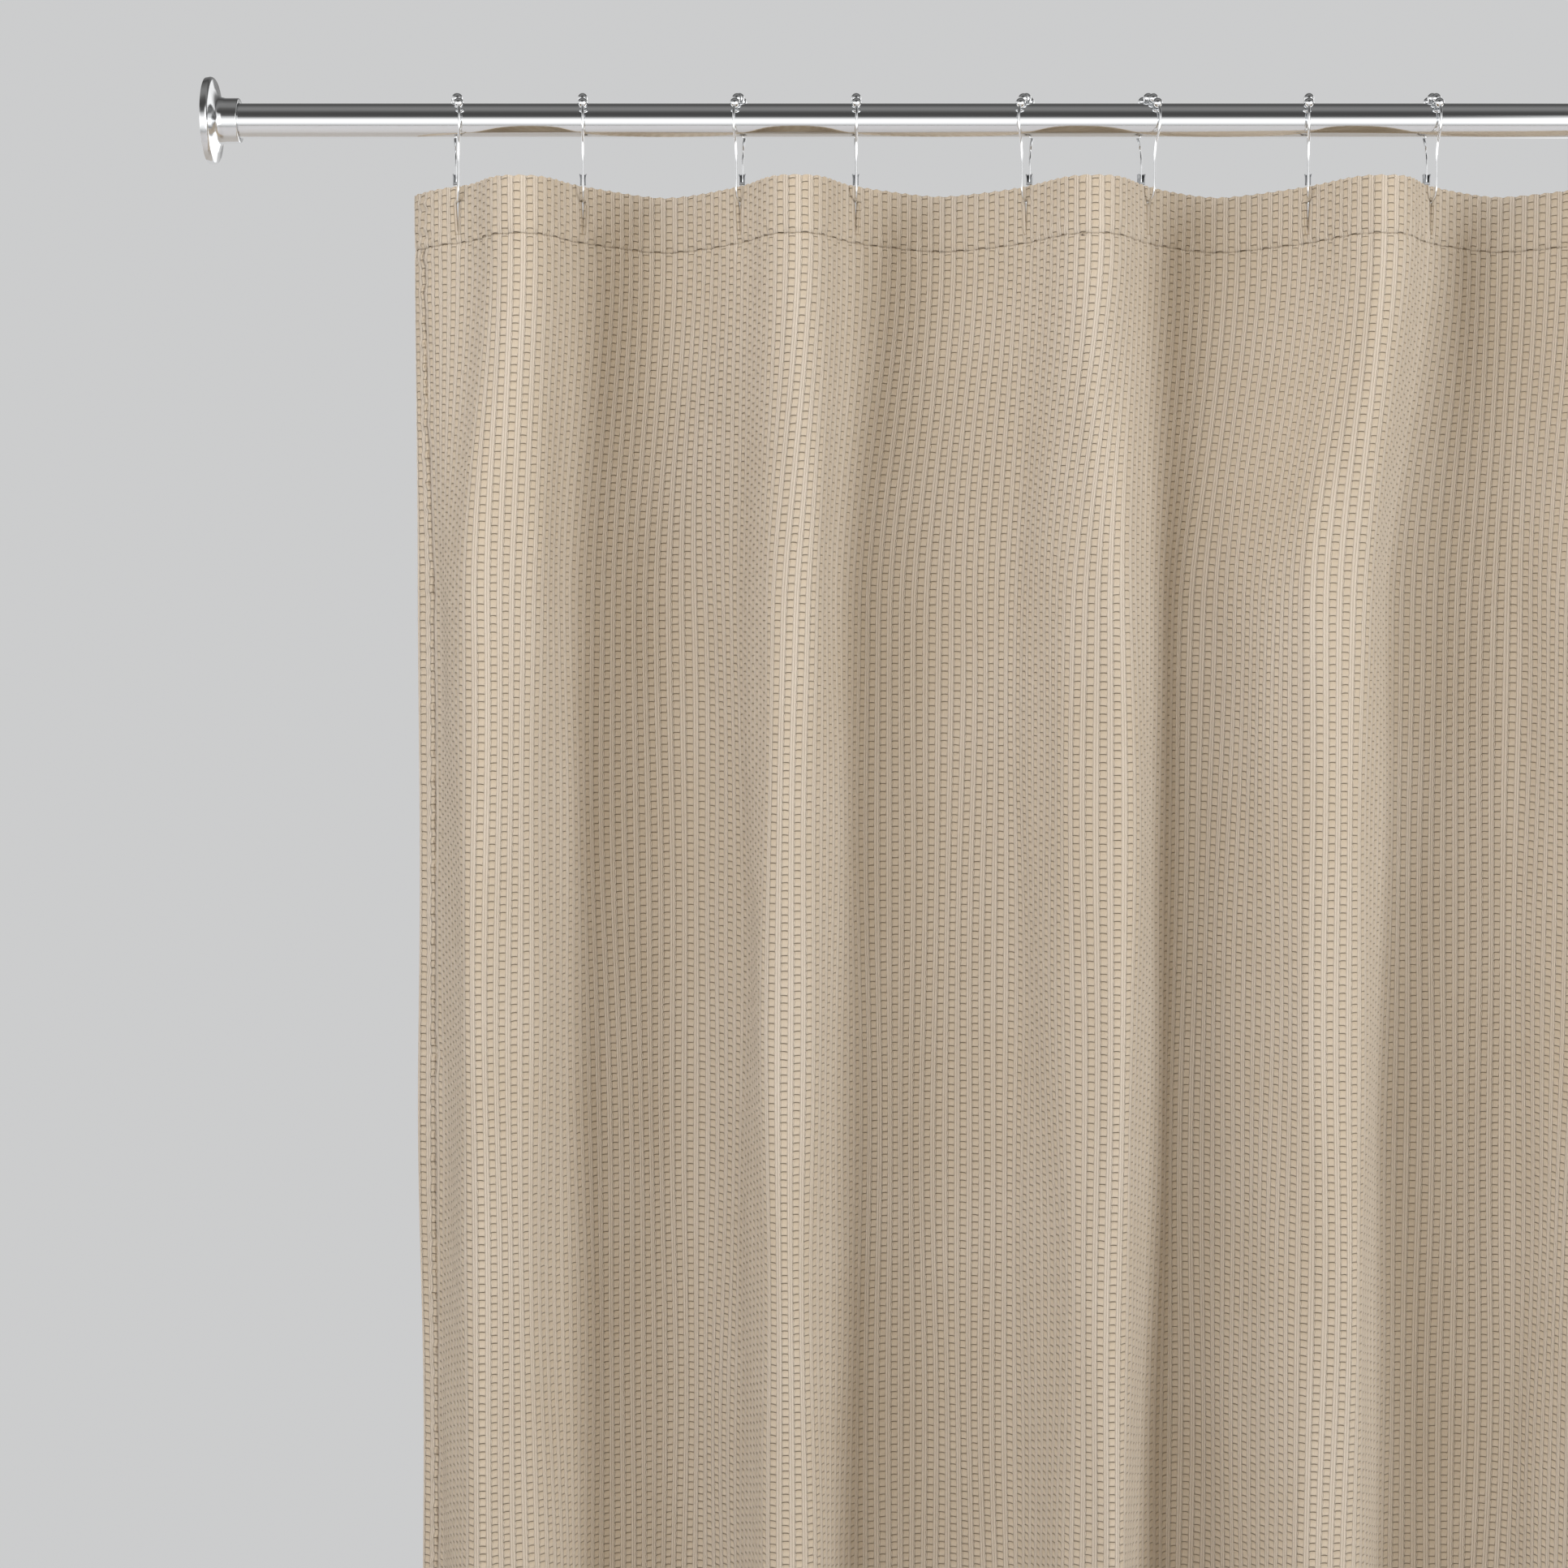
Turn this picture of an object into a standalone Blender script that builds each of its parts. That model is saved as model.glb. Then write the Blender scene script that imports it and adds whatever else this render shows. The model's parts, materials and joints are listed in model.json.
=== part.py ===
"""Shower curtain on its rod: waffle cloth with a buttonholed header, twelve roller rings
with a spring clasp, and a rod between two wall flanges. Metres, +Z up.

The origin is the centre of the left flange's wall face. The rod runs along +X, the side that
faces the room is -Y, and the curtain hangs along -Z.
"""
import math

import bmesh
import bpy
import numpy as np
from mathutils import Vector

# Rod and wall flanges
WALL_TO_WALL = 1.524
ROD_RADIUS = 0.0127
ROD_WALL = 0.001
FLANGE_RADIUS = 0.032
FLANGE_THICKNESS = 0.006
FLANGE_CHAMFER = 0.0025
COLLAR_WALL = 0.0035
COLLAR_LENGTH = 0.018
SOCKET_FLOOR = 0.007
SOCKET_CLEARANCE = 0.0003
ROUND_SIDES = 32

# Gap left between pieces that touch on the real object
TOUCH_GAP = 0.0003

# Rings
WIRE_RADIUS = 0.001
WIRE_SIDES = 6
ROLLER_RADIUS = 0.00375
ROLLER_BORE_CLEARANCE = 0.0003
ROLLER_NECK_WALL = 0.0006
ROLLER_COUNT = 5
ROLLER_SPACING = 0.0002
ROLLER_SIDES = 8
ARCH_EXTRA_WIDTH = 0.0018
NECK_CLEARANCE = 0.0073
NECK_HALF_WIDTH = 0.0115
LEG_HALF_WIDTH = 0.010
LEG_LENGTH = 0.030
CLASP_HINGE_ANGLE = 4.0
CLASP_HINGE_GAP = 0.0005
CATCH_LENGTH = 0.008
CATCH_FLOOR = 0.002
CATCH_WALL = 0.0009
CATCH_BELOW_NECK = 0.026

# Curtain cloth, laid flat
CLOTH_WIDTH = 1.829
CLOTH_HEIGHT = 1.829
CLOTH_THICKNESS = 0.0015
HEADER_HEIGHT = 0.042
HEADER_THICKNESS = 0.0020
SIDE_HEM_WIDTH = 0.015
BOTTOM_HEM_HEIGHT = 0.025
HEM_THICKNESS = 0.0022
END_MARGIN = 0.055
BUTTONHOLE_BELOW_EDGE = 0.0095
BUTTONHOLE_HEIGHT = 0.025
BUTTONHOLE_SPARE_WIDTH = 0.004
BUTTONHOLE_TOP_GAP = 0.0006

# How the curtain hangs. Each gap between two rings is a share of the flat cloth in it, each
# ring has its turn about the vertical, and the header crosses each ring at its own angle.
GAP_SHARES = (0.601, 0.749, 0.557, 0.813, 0.582, 0.768, 0.589, 0.794, 0.576, 0.755, 0.595)
RING_TURNS = (12, 4, -13, 0, -22, 22, -10, 8, -14, 6, -18, -4)
HEADER_ANGLES = (34, 50, 54, 48, 56, 56, 54, 50, 54, 50, 56, 36)
EDGE_ANGLE = 60.0
FOLD_SQUARENESS = 2.2
FOLD_SETTLED_AT = 0.32
COLUMNS_PER_GAP = 12
STEPS_PER_GAP = 160

# Lower down the folds square up: wide flat hollows, narrow crests and steep flanks between.
# Each run of cloth is a share of two gaps' flat cloth and an angle, from the left edge on.
FOLD_SOFTNESS = 0.030
SETTLED_RUNS = (
    (0.058, -24), (0.293, -71),
    (0.158, 27), (0.259, 63), (0.207, 31), (0.086, 0), (0.133, -44), (0.247, -74),
    (0.089, 8), (0.276, 63), (0.180, 10), (0.208, -17), (0.279, -69),
    (0.118, -18), (0.197, 67), (0.140, 56), (0.065, -12),
    (0.129, -46), (0.193, -57), (0.128, 0), (0.262, 65),
    (0.300, 4), (0.290, -62), (0.140, 0),
    (0.215, 62), (0.150, 48), (0.170, -4), (0.130, -44), (0.205, -64), (0.128, 0),
    (0.243, 64), (0.200, 40),
)

CHROME = (0.78, 0.79, 0.80)
ROD_CHROME = (0.70, 0.71, 0.72)
CLOTH_COLOUR = (0.62, 0.52, 0.39)

ring_count = len(RING_TURNS)
ring_pitch = (CLOTH_WIDTH - 2 * END_MARGIN) / (ring_count - 1)
roller_pitch = 2 * ROLLER_RADIUS + ROLLER_SPACING
roller_bore = WIRE_RADIUS + ROLLER_BORE_CLEARANCE
buttonhole_width = 2 * WIRE_RADIUS + BUTTONHOLE_SPARE_WIDTH
arch_height = ROD_RADIUS + TOUCH_GAP + ROLLER_RADIUS
arch_half_width = arch_height + ARCH_EXTRA_WIDTH
neck_drop = ROD_RADIUS + NECK_CLEARANCE
bend_drop = neck_drop + LEG_LENGTH
ring_drop = bend_drop + LEG_HALF_WIDTH
header_top = -ring_drop + WIRE_RADIUS + BUTTONHOLE_TOP_GAP + BUTTONHOLE_BELOW_EDGE


def remove_everything():
    for scene_object in list(bpy.data.objects):
        bpy.data.objects.remove(scene_object, do_unlink=True)


def make_material(name, colour, roughness, metallic):
    material = bpy.data.materials.new(name)
    material.use_nodes = True
    shader = material.node_tree.nodes["Principled BSDF"]
    shader.inputs["Base Color"].default_value = (*colour, 1.0)
    shader.inputs["Roughness"].default_value = roughness
    shader.inputs["Metallic"].default_value = metallic
    material.diffuse_color = (*colour, 1.0)
    return material


def add_object(name, points, faces, material, location=(0, 0, 0), parent=None, smooth=True):
    """Make a mesh object from points given in its own axes, with its normals outward."""
    mesh = bpy.data.meshes.new(name)
    shell = bmesh.new()
    corners = [shell.verts.new(point) for point in points]
    for face in faces:
        shell.faces.new([corners[index] for index in face])
    bmesh.ops.recalc_face_normals(shell, faces=shell.faces)
    shell.to_mesh(mesh)
    shell.free()
    mesh.materials.append(material)
    if smooth:
        mesh.shade_smooth()
        mesh.set_sharp_from_angle(angle=math.radians(40))
    piece = bpy.data.objects.new(name, mesh)
    piece.location = location
    piece.parent = parent
    bpy.context.scene.collection.objects.link(piece)
    return piece


def add_empty(name, location):
    empty = bpy.data.objects.new(name, None)
    empty.location = location
    bpy.context.scene.collection.objects.link(empty)
    return empty


def ring_of_points(centre, across, up, radius, sides):
    angles = [2 * math.pi * step / sides for step in range(sides)]
    return [centre + radius * (math.cos(a) * across + math.sin(a) * up) for a in angles]


def bridge(first, second, sides):
    """Quads between two loops that start at the given indices."""
    return [
        (first + side, first + (side + 1) % sides, second + (side + 1) % sides, second + side)
        for side in range(sides)
    ]


def turned(profile, sides):
    """A solid turned about X from (x, radius) pairs that start and end on the axis."""
    points = [Vector((profile[0][0], 0, 0))]
    faces = []
    inner = profile[1:-1]
    for x, radius in inner:
        points += ring_of_points(Vector((x, 0, 0)), Vector((0, 1, 0)), Vector((0, 0, 1)), radius, sides)
    points.append(Vector((profile[-1][0], 0, 0)))
    last_loop = 1 + (len(inner) - 1) * sides
    for side in range(sides):
        faces.append((0, 1 + side, 1 + (side + 1) % sides))
        faces.append((last_loop + side, last_loop + (side + 1) % sides, len(points) - 1))
    for loop in range(len(inner) - 1):
        faces += bridge(1 + loop * sides, 1 + (loop + 1) * sides, sides)
    return points, faces


def path_frames(path, across):
    """The direction square to a planar path and to its plane's normal, at each point."""
    ups = []
    for index in range(len(path)):
        before = path[max(index - 1, 0)]
        after = path[min(index + 1, len(path) - 1)]
        ups.append((after - before).normalized().cross(across))
    return ups


def swept_rod(path, across, radius, sides):
    points, faces = [], []
    for centre, up in zip(path, path_frames(path, across)):
        points += ring_of_points(centre, across, up, radius, sides)
    last = (len(path) - 1) * sides
    for loop in range(len(path) - 1):
        faces += bridge(loop * sides, (loop + 1) * sides, sides)
    faces.append(tuple(range(sides)))
    faces.append(tuple(range(last, last + sides)))
    return points, faces


def swept_sleeve(outer_path, outer_radii, bore_path, across, bore_radius, sides):
    """A sleeve around a path, whose outside changes radius along it and whose bore doesn't."""
    points, faces = [], []
    for centre, up, radius in zip(outer_path, path_frames(outer_path, across), outer_radii):
        points += ring_of_points(centre, across, up, radius, sides)
    bore_start = len(points)
    for centre, up in zip(bore_path, path_frames(bore_path, across)):
        points += ring_of_points(centre, across, up, bore_radius, sides)
    outer_last = bore_start - sides
    bore_last = len(points) - sides
    for loop in range(len(outer_path) - 1):
        faces += bridge(loop * sides, (loop + 1) * sides, sides)
    for loop in range(len(bore_path) - 1):
        faces += bridge(bore_start + loop * sides, bore_start + (loop + 1) * sides, sides)
    faces += bridge(0, bore_start, sides)
    faces += bridge(outer_last, bore_last, sides)
    return points, faces


# Rod and flanges

def make_flange(name, material, location, facing):
    socket = ROD_RADIUS + SOCKET_CLEARANCE
    collar = socket + COLLAR_WALL
    face = FLANGE_THICKNESS
    mouth = FLANGE_THICKNESS + COLLAR_LENGTH
    profile = [
        (0, 0),
        (0, FLANGE_RADIUS),
        (face - FLANGE_CHAMFER, FLANGE_RADIUS),
        (face, FLANGE_RADIUS - FLANGE_CHAMFER),
        (face, collar),
        (mouth, collar),
        (mouth, socket),
        (SOCKET_FLOOR, socket),
        (SOCKET_FLOOR, 0),
    ]
    points, faces = turned([(facing * x, radius) for x, radius in profile], ROUND_SIDES)
    return add_object(name, points, faces, material, location)


def make_rod(material):
    start = SOCKET_FLOOR + TOUCH_GAP
    end = WALL_TO_WALL - start
    ends = (Vector((start, 0, 0)), Vector((end, 0, 0)))
    across = Vector((0, 1, 0))
    bore = ROD_RADIUS - ROD_WALL
    points, faces = swept_sleeve(ends, (ROD_RADIUS, ROD_RADIUS), ends, across, bore, ROUND_SIDES)
    return add_object("rod_tube", points, faces, material)


# Rings, each drawn in its own plane: first number towards the wall side, second number up

def arch_point(angle):
    """A point on the arch over the rod, for an angle in degrees back from the top."""
    turn = math.radians(angle)
    return (arch_half_width * math.sin(turn), arch_height * math.cos(turn))


def roller_angles(share):
    """Arch angles of the string of rollers, with this many stations for each roller pitch."""
    mean_radius = (arch_height + arch_half_width) / 2
    half_turn = math.degrees(ROLLER_COUNT * roller_pitch / 2 / mean_radius)
    stations = ROLLER_COUNT * share
    return [half_turn * (2 * station / stations - 1) for station in range(stations + 1)]


def side_run():
    """The run from the arch's level down to the start of the straight leg, at one side."""
    start, neck = Vector((arch_half_width, 0)), Vector((NECK_HALF_WIDTH, -neck_drop))
    leg = Vector((LEG_HALF_WIDTH, -neck_drop - LEG_LENGTH / 4))
    first_pull = start + Vector((0, -0.6 * neck_drop))
    second_pull = neck + (neck - leg) * 1.1
    run = []
    for step in range(1, 6):
        t = step / 5
        run.append(
            start * (1 - t) ** 3
            + first_pull * 3 * t * (1 - t) ** 2
            + second_pull * 3 * t ** 2 * (1 - t)
            + neck * t ** 3
        )
    return [tuple(point) for point in run] + [tuple(leg)]


def bend_points():
    steps = 10
    angles = [math.pi * step / steps for step in range(steps + 1)]
    return [
        (-LEG_HALF_WIDTH * math.cos(a), -bend_drop - LEG_HALF_WIDTH * math.sin(a)) for a in angles
    ]


def wire_outline():
    hinge_angle = 90 - CLASP_HINGE_ANGLE
    half_gap_angle = math.degrees(CLASP_HINGE_GAP / 2 / arch_half_width)
    after_rollers = roller_angles(2)[-1]
    rear = [hinge_angle - half_gap_angle, (hinge_angle + after_rollers) / 2]
    front = [-(after_rollers + 90) / 2, -90]
    arch = [arch_point(angle) for angle in rear + roller_angles(2)[::-1] + front]
    leg = [(-across, up) for across, up in side_run()]
    rear_end = (LEG_HALF_WIDTH, catch_bottom() - TOUCH_GAP)
    return arch + leg + bend_points() + [rear_end]


def catch_bottom():
    return -neck_drop - CATCH_BELOW_NECK


def clasp_outline():
    hinge_angle = 90 - CLASP_HINGE_ANGLE
    half_gap_angle = math.degrees(CLASP_HINGE_GAP / 2 / arch_half_width)
    tip = (LEG_HALF_WIDTH, catch_bottom() + CATCH_FLOOR + TOUCH_GAP)
    return [arch_point(hinge_angle + half_gap_angle)] + side_run() + [tip]


def catch_solid(back, across):
    """A channel, open towards the inside of the ring, with a floor for the wire's end."""
    notch = WIRE_RADIUS + TOUCH_GAP
    half = notch + CATCH_WALL
    low, floor, high = catch_bottom(), catch_bottom() + CATCH_FLOOR, catch_bottom() + CATCH_LENGTH

    def place(side, depth, level):
        return across * side + back * (LEG_HALF_WIDTH + depth) + Vector((0, 0, level))

    outline = [(-half, -half), (-notch, -half), (-notch, notch), (notch, notch),
               (notch, -half), (half, -half), (half, half), (-half, half)]
    points = [place(side, depth, high) for side, depth in outline]
    points += [place(side, depth, floor) for side, depth in outline[1:5]]
    points += [place(*outline[index], low) for index in (0, 5, 6, 7)]
    faces = [tuple(range(8)), (8, 9, 10, 11), (12, 13, 14, 15)]
    faces += [(1, 2, 9, 8), (2, 3, 10, 9), (3, 4, 11, 10)]
    faces += [(5, 6, 14, 13), (6, 7, 15, 14), (7, 0, 12, 15), (0, 1, 8, 11, 4, 5, 13, 12)]
    return points, faces


def make_ring(number, x, turn, wire_material, roller_material):
    label = f"ring_{number:02d}"
    angle = math.radians(turn)
    back = Vector((-math.sin(angle), math.cos(angle), 0))
    across = Vector((math.cos(angle), math.sin(angle), 0))
    holder = add_empty(label, (x, 0, 0))

    def place(outline):
        return [back * depth + Vector((0, 0, up)) for depth, up in outline]

    points, faces = swept_rod(place(wire_outline()), across, WIRE_RADIUS, WIRE_SIDES)
    add_object(label + "_wire", points, faces, wire_material, parent=holder)

    hinge = place([arch_point(90 - CLASP_HINGE_ANGLE)])[0]
    clasp_path = [point - hinge for point in place(clasp_outline())]
    points, faces = swept_rod(clasp_path, across, WIRE_RADIUS, WIRE_SIDES)
    add_object(label + "_clasp_arm", points, faces, wire_material, hinge, holder)

    points, faces = catch_solid(back, across)
    add_object(label + "_catch", points, faces, wire_material, parent=holder, smooth=False)

    beads = place([arch_point(a) for a in roller_angles(4)])
    bore = place([arch_point(a) for a in roller_angles(2)])
    shoulder = ROLLER_RADIUS * math.cos(math.asin(roller_pitch / 4 / ROLLER_RADIUS))
    neck = roller_bore + ROLLER_NECK_WALL
    radii = (neck, shoulder, ROLLER_RADIUS, shoulder) * ROLLER_COUNT + (neck,)
    points, faces = swept_sleeve(beads, radii, bore, across, roller_bore, ROLLER_SIDES)
    add_object(label + "_rollers", points, faces, roller_material, parent=holder)


# Curtain cloth. A fold line gives x and y for each place across the flat cloth.

def gap_angles(t, first, last, side, bulge, lean):
    level = first + (last - first) * t
    turn = np.tanh(FOLD_SQUARENESS * np.cos(math.pi * t)) / math.tanh(FOLD_SQUARENESS)
    return side * (level * turn + bulge * np.sin(2 * math.pi * t) + lean * np.sin(math.pi * t))


def bisect(measure, low, high):
    """The value between low and high where a falling measure passes zero."""
    for _ in range(36):
        middle = (low + high) / 2
        if measure(middle) > 0:
            low = middle
        else:
            high = middle
    return (low + high) / 2


def solve_gap(t, first, last, side, share):
    """Angles along one gap that bring the cloth from one ring to the next, level in depth."""
    def level_lean(bulge):
        return bisect(
            lambda lean: -side * np.sin(gap_angles(t, first, last, side, bulge, lean)).mean(), -1, 1)

    def spare(bulge):
        lean = level_lean(bulge)
        return np.cos(gap_angles(t, first, last, side, bulge, lean)).mean() - share

    bulge = bisect(spare, -0.6, 0.9)
    return gap_angles(t, first, last, side, bulge, level_lean(bulge))


def walk(angles, lengths):
    x = np.concatenate(([0.0], np.cumsum(np.cos(angles) * lengths)))
    y = np.concatenate(([0.0], np.cumsum(np.sin(angles) * lengths)))
    return x, y


def header_line():
    """Places across the flat cloth and the fold line through them at the header."""
    slopes = [math.radians(angle) for angle in HEADER_ANGLES]
    edge = math.radians(EDGE_ANGLE)
    t = (np.arange(STEPS_PER_GAP) + 0.5) / STEPS_PER_GAP
    step = ring_pitch / STEPS_PER_GAP
    angles = [-(edge + (slopes[0] - edge) * t)]
    lengths = [np.full(STEPS_PER_GAP, END_MARGIN / STEPS_PER_GAP)]
    for gap, share in enumerate(GAP_SHARES):
        side = -1 if gap % 2 == 0 else 1
        angles.append(solve_gap(t, slopes[gap], slopes[gap + 1], side, share))
        lengths.append(np.full(STEPS_PER_GAP, step))
    last_side = 1 if ring_count % 2 == 0 else -1
    angles.append(last_side * (slopes[-1] + (edge - slopes[-1]) * t))
    lengths.append(lengths[0])
    lengths = np.concatenate(lengths)
    x, y = walk(np.concatenate(angles), lengths)
    along = np.concatenate(([0.0], np.cumsum(lengths)))
    hung_width = x[-1]
    x = x + (WALL_TO_WALL - hung_width) / 2
    y = y - np.interp(END_MARGIN, along, y)
    return along, x, y


def settled_line(along, header_x):
    """The fold line lower down, through the settled runs, softened where one meets the next."""
    shares, angles = np.array(SETTLED_RUNS).T
    ends = np.cumsum(shares) * 2 * ring_pitch
    middles = (along[1:] + along[:-1]) / 2
    turn = np.zeros(len(middles))
    for end, angle, later in zip(ends, angles, list(angles[1:]) + [angles[-1]]):
        passed = 0.5 + 0.5 * np.tanh((middles - end) / (FOLD_SOFTNESS * 2 * ring_pitch))
        turn += (later - angle) * passed
    turn = np.radians(turn + angles[0])
    x, y = walk(turn, np.diff(along))
    drift = np.polyfit(along, y, 1)
    y = y - np.polyval(drift, along)
    x = header_x[0] + x * (header_x[-1] - header_x[0]) / x[-1]
    return x, y


def smooth_step(value):
    value = min(max(value, 0.0), 1.0)
    return value * value * (3 - 2 * value)


def column_places(start, end, extra=()):
    """Places across the flat cloth where the mesh has a column, between two edges."""
    count = (ring_count - 1) * COLUMNS_PER_GAP
    places = [END_MARGIN + ring_pitch * column / COLUMNS_PER_GAP for column in range(count + 1)]
    for margin_part in (0.0, 0.27, 0.54, 0.8):
        places += [margin_part * END_MARGIN, CLOTH_WIDTH - margin_part * END_MARGIN]
    spare = ring_pitch / COLUMNS_PER_GAP / 3
    places = [p for p in places if all(abs(p - e) > spare for e in (start, end, *extra))]
    return sorted([p for p in places if start < p < end] + [start, end, *extra])


def sheet_solid(fold, columns, rows, thickness, holes=()):
    """A closed sheet through the fold line; holes are (column, row) cells that are left out."""
    count = len(columns)
    points = []
    for face_side in (-0.5, 0.5):
        for row in rows:
            for place in columns:
                x, y, normal = fold(place, row)
                offset = normal * face_side * thickness
                points.append(Vector((x, y, header_top - row)) + offset)
    layer = count * len(rows)

    def quad_open(column, row):
        inside = 0 <= column < count - 1 and 0 <= row < len(rows) - 1
        return not inside or (column, row) in holes

    faces = []
    for row in range(len(rows) - 1):
        for column in range(count - 1):
            if (column, row) in holes:
                continue
            corner = row * count + column
            quad = (corner, corner + 1, corner + count + 1, corner + count)
            faces.append(quad)
            faces.append(tuple(layer + index for index in quad))
            neighbours = ((column, row - 1), (column + 1, row), (column, row + 1), (column - 1, row))
            for side, neighbour in enumerate(neighbours):
                if quad_open(*neighbour):
                    first, second = quad[side], quad[(side + 1) % 4]
                    faces.append((first, second, layer + second, layer + first))
    return points, faces


def make_fold():
    along, header_x, header_y = header_line()
    low_x, low_y = settled_line(along, header_x)
    reach = FOLD_SETTLED_AT - HEADER_HEIGHT

    def blended(place, row):
        share = smooth_step((row - HEADER_HEIGHT) / reach)
        x = (1 - share) * np.interp(place, along, header_x) + share * np.interp(place, along, low_x)
        y = (1 - share) * np.interp(place, along, header_y) + share * np.interp(place, along, low_y)
        return float(x), float(y)

    def fold(place, row):
        x, y = blended(place, row)
        probe = ring_pitch / STEPS_PER_GAP
        before = blended(max(place - probe, 0.0), row)
        after = blended(min(place + probe, CLOTH_WIDTH), row)
        tangent = Vector((after[0] - before[0], after[1] - before[1], 0)).normalized()
        return x, y, Vector((-tangent.y, tangent.x, 0))

    return fold


def make_curtain(fold, materials):
    seam = HEADER_HEIGHT + TOUCH_GAP
    hem_top = CLOTH_HEIGHT - BOTTOM_HEM_HEIGHT
    inner_left = SIDE_HEM_WIDTH + TOUCH_GAP
    inner_right = CLOTH_WIDTH - inner_left
    depths = [seam + (FOLD_SETTLED_AT - seam) * part for part in (0, 0.27, 0.5, 0.73, 1)]
    depths.append(hem_top - TOUCH_GAP)

    hole_edges = []
    for ring in range(ring_count):
        middle = END_MARGIN + ring * ring_pitch
        hole_edges += [middle - buttonhole_width / 2, middle + buttonhole_width / 2]
    columns = column_places(0.0, CLOTH_WIDTH, hole_edges)
    hole_end = BUTTONHOLE_BELOW_EDGE + BUTTONHOLE_HEIGHT
    rows = [0.0, BUTTONHOLE_BELOW_EDGE, hole_end, HEADER_HEIGHT]
    holes = {(columns.index(edge), 1) for edge in hole_edges[::2]}
    solid = sheet_solid(fold, columns, rows, HEADER_THICKNESS, holes)
    add_object("header_band", *solid, materials["header"])

    solid = sheet_solid(fold, column_places(inner_left, inner_right), depths, CLOTH_THICKNESS)
    add_object("cloth_panel", *solid, materials["panel"])

    right_start = CLOTH_WIDTH - SIDE_HEM_WIDTH
    solid = sheet_solid(fold, (0.0, SIDE_HEM_WIDTH), depths, HEM_THICKNESS)
    add_object("left_hem", *solid, materials["hem"])
    solid = sheet_solid(fold, (right_start, CLOTH_WIDTH), depths, HEM_THICKNESS)
    add_object("right_hem", *solid, materials["hem"])

    hem_rows = (hem_top, CLOTH_HEIGHT)
    solid = sheet_solid(fold, column_places(0.0, CLOTH_WIDTH), hem_rows, HEM_THICKNESS)
    add_object("bottom_hem", *solid, materials["hem"])


def main():
    remove_everything()
    rod_material = make_material("rod_chrome", ROD_CHROME, 0.12, 1.0)
    flange_material = make_material("flange_chrome", ROD_CHROME, 0.15, 1.0)
    wire_material = make_material("wire_chrome", CHROME, 0.10, 1.0)
    roller_material = make_material("roller_chrome", CHROME, 0.08, 1.0)
    cloth_materials = {
        "panel": make_material("waffle_cloth", CLOTH_COLOUR, 0.85, 0.0),
        "header": make_material("header_cloth", CLOTH_COLOUR, 0.85, 0.0),
        "hem": make_material("hem_cloth", CLOTH_COLOUR, 0.85, 0.0),
    }

    make_rod(rod_material)
    make_flange("left_flange", flange_material, (0, 0, 0), 1)
    make_flange("right_flange", flange_material, (WALL_TO_WALL, 0, 0), -1)

    fold = make_fold()
    make_curtain(fold, cloth_materials)
    for ring, turn in enumerate(RING_TURNS):
        x = fold(END_MARGIN + ring * ring_pitch, 0.0)[0]
        make_ring(ring + 1, x, turn, wire_material, roller_material)


main()
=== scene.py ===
import json
import math

import bmesh
import bpy
import numpy as np
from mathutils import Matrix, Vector


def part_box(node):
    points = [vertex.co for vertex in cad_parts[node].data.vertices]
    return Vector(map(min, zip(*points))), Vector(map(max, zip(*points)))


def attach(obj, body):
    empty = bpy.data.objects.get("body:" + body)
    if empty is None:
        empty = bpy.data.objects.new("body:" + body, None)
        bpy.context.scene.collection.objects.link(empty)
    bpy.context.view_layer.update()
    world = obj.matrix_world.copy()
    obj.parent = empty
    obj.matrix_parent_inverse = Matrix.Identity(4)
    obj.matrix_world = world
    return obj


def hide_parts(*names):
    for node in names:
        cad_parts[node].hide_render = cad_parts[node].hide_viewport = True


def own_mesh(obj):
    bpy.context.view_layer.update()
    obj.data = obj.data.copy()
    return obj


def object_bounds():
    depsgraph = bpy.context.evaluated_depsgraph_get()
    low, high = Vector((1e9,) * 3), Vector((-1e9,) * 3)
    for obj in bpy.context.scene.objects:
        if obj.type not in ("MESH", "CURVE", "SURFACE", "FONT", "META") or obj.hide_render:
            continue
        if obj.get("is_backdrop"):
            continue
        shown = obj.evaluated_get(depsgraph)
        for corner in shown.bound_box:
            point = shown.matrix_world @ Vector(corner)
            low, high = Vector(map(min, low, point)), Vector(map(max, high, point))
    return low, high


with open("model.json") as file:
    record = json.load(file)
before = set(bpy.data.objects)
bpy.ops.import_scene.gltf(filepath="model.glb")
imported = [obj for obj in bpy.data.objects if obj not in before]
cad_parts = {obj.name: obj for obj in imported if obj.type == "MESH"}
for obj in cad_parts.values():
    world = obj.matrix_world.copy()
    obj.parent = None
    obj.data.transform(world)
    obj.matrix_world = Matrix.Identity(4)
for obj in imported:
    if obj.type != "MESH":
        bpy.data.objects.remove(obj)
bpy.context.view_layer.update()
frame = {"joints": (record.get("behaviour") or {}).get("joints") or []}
clothBody, leadSlide = "curtain", "ring_01_slide"

rod = {
    "radius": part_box("rod_tube")[1].z,
    "wallToWall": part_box("right_flange")[1].x,
    "sides": 96,
    "bore": 0.0117,
}

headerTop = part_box("header_band")[1].z
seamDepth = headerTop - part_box("header_band")[0].z


def ringPlaces():
    # each clasp hinge gives its ring's place on the rod and its turn about the vertical
    places = []
    hinges = [j for j in frame["joints"] if j["name"].startswith("clasp_")]
    for hinge in sorted(hinges, key=lambda joint: joint["name"]):
        turn = math.atan2(-hinge["axis"][1], -hinge["axis"][0])
        x, y, _ = hinge["pos_m"]
        places.append((x + math.tan(turn) * y, turn))
    return places


rings = ringPlaces()

cameraSet = {
    "rightOfFirstRing": 0.2442,
    "distance": 2.0735,
    "height": -0.380,
    "lens": 63.0,
    "pitchDown": 3.2,
}


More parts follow.
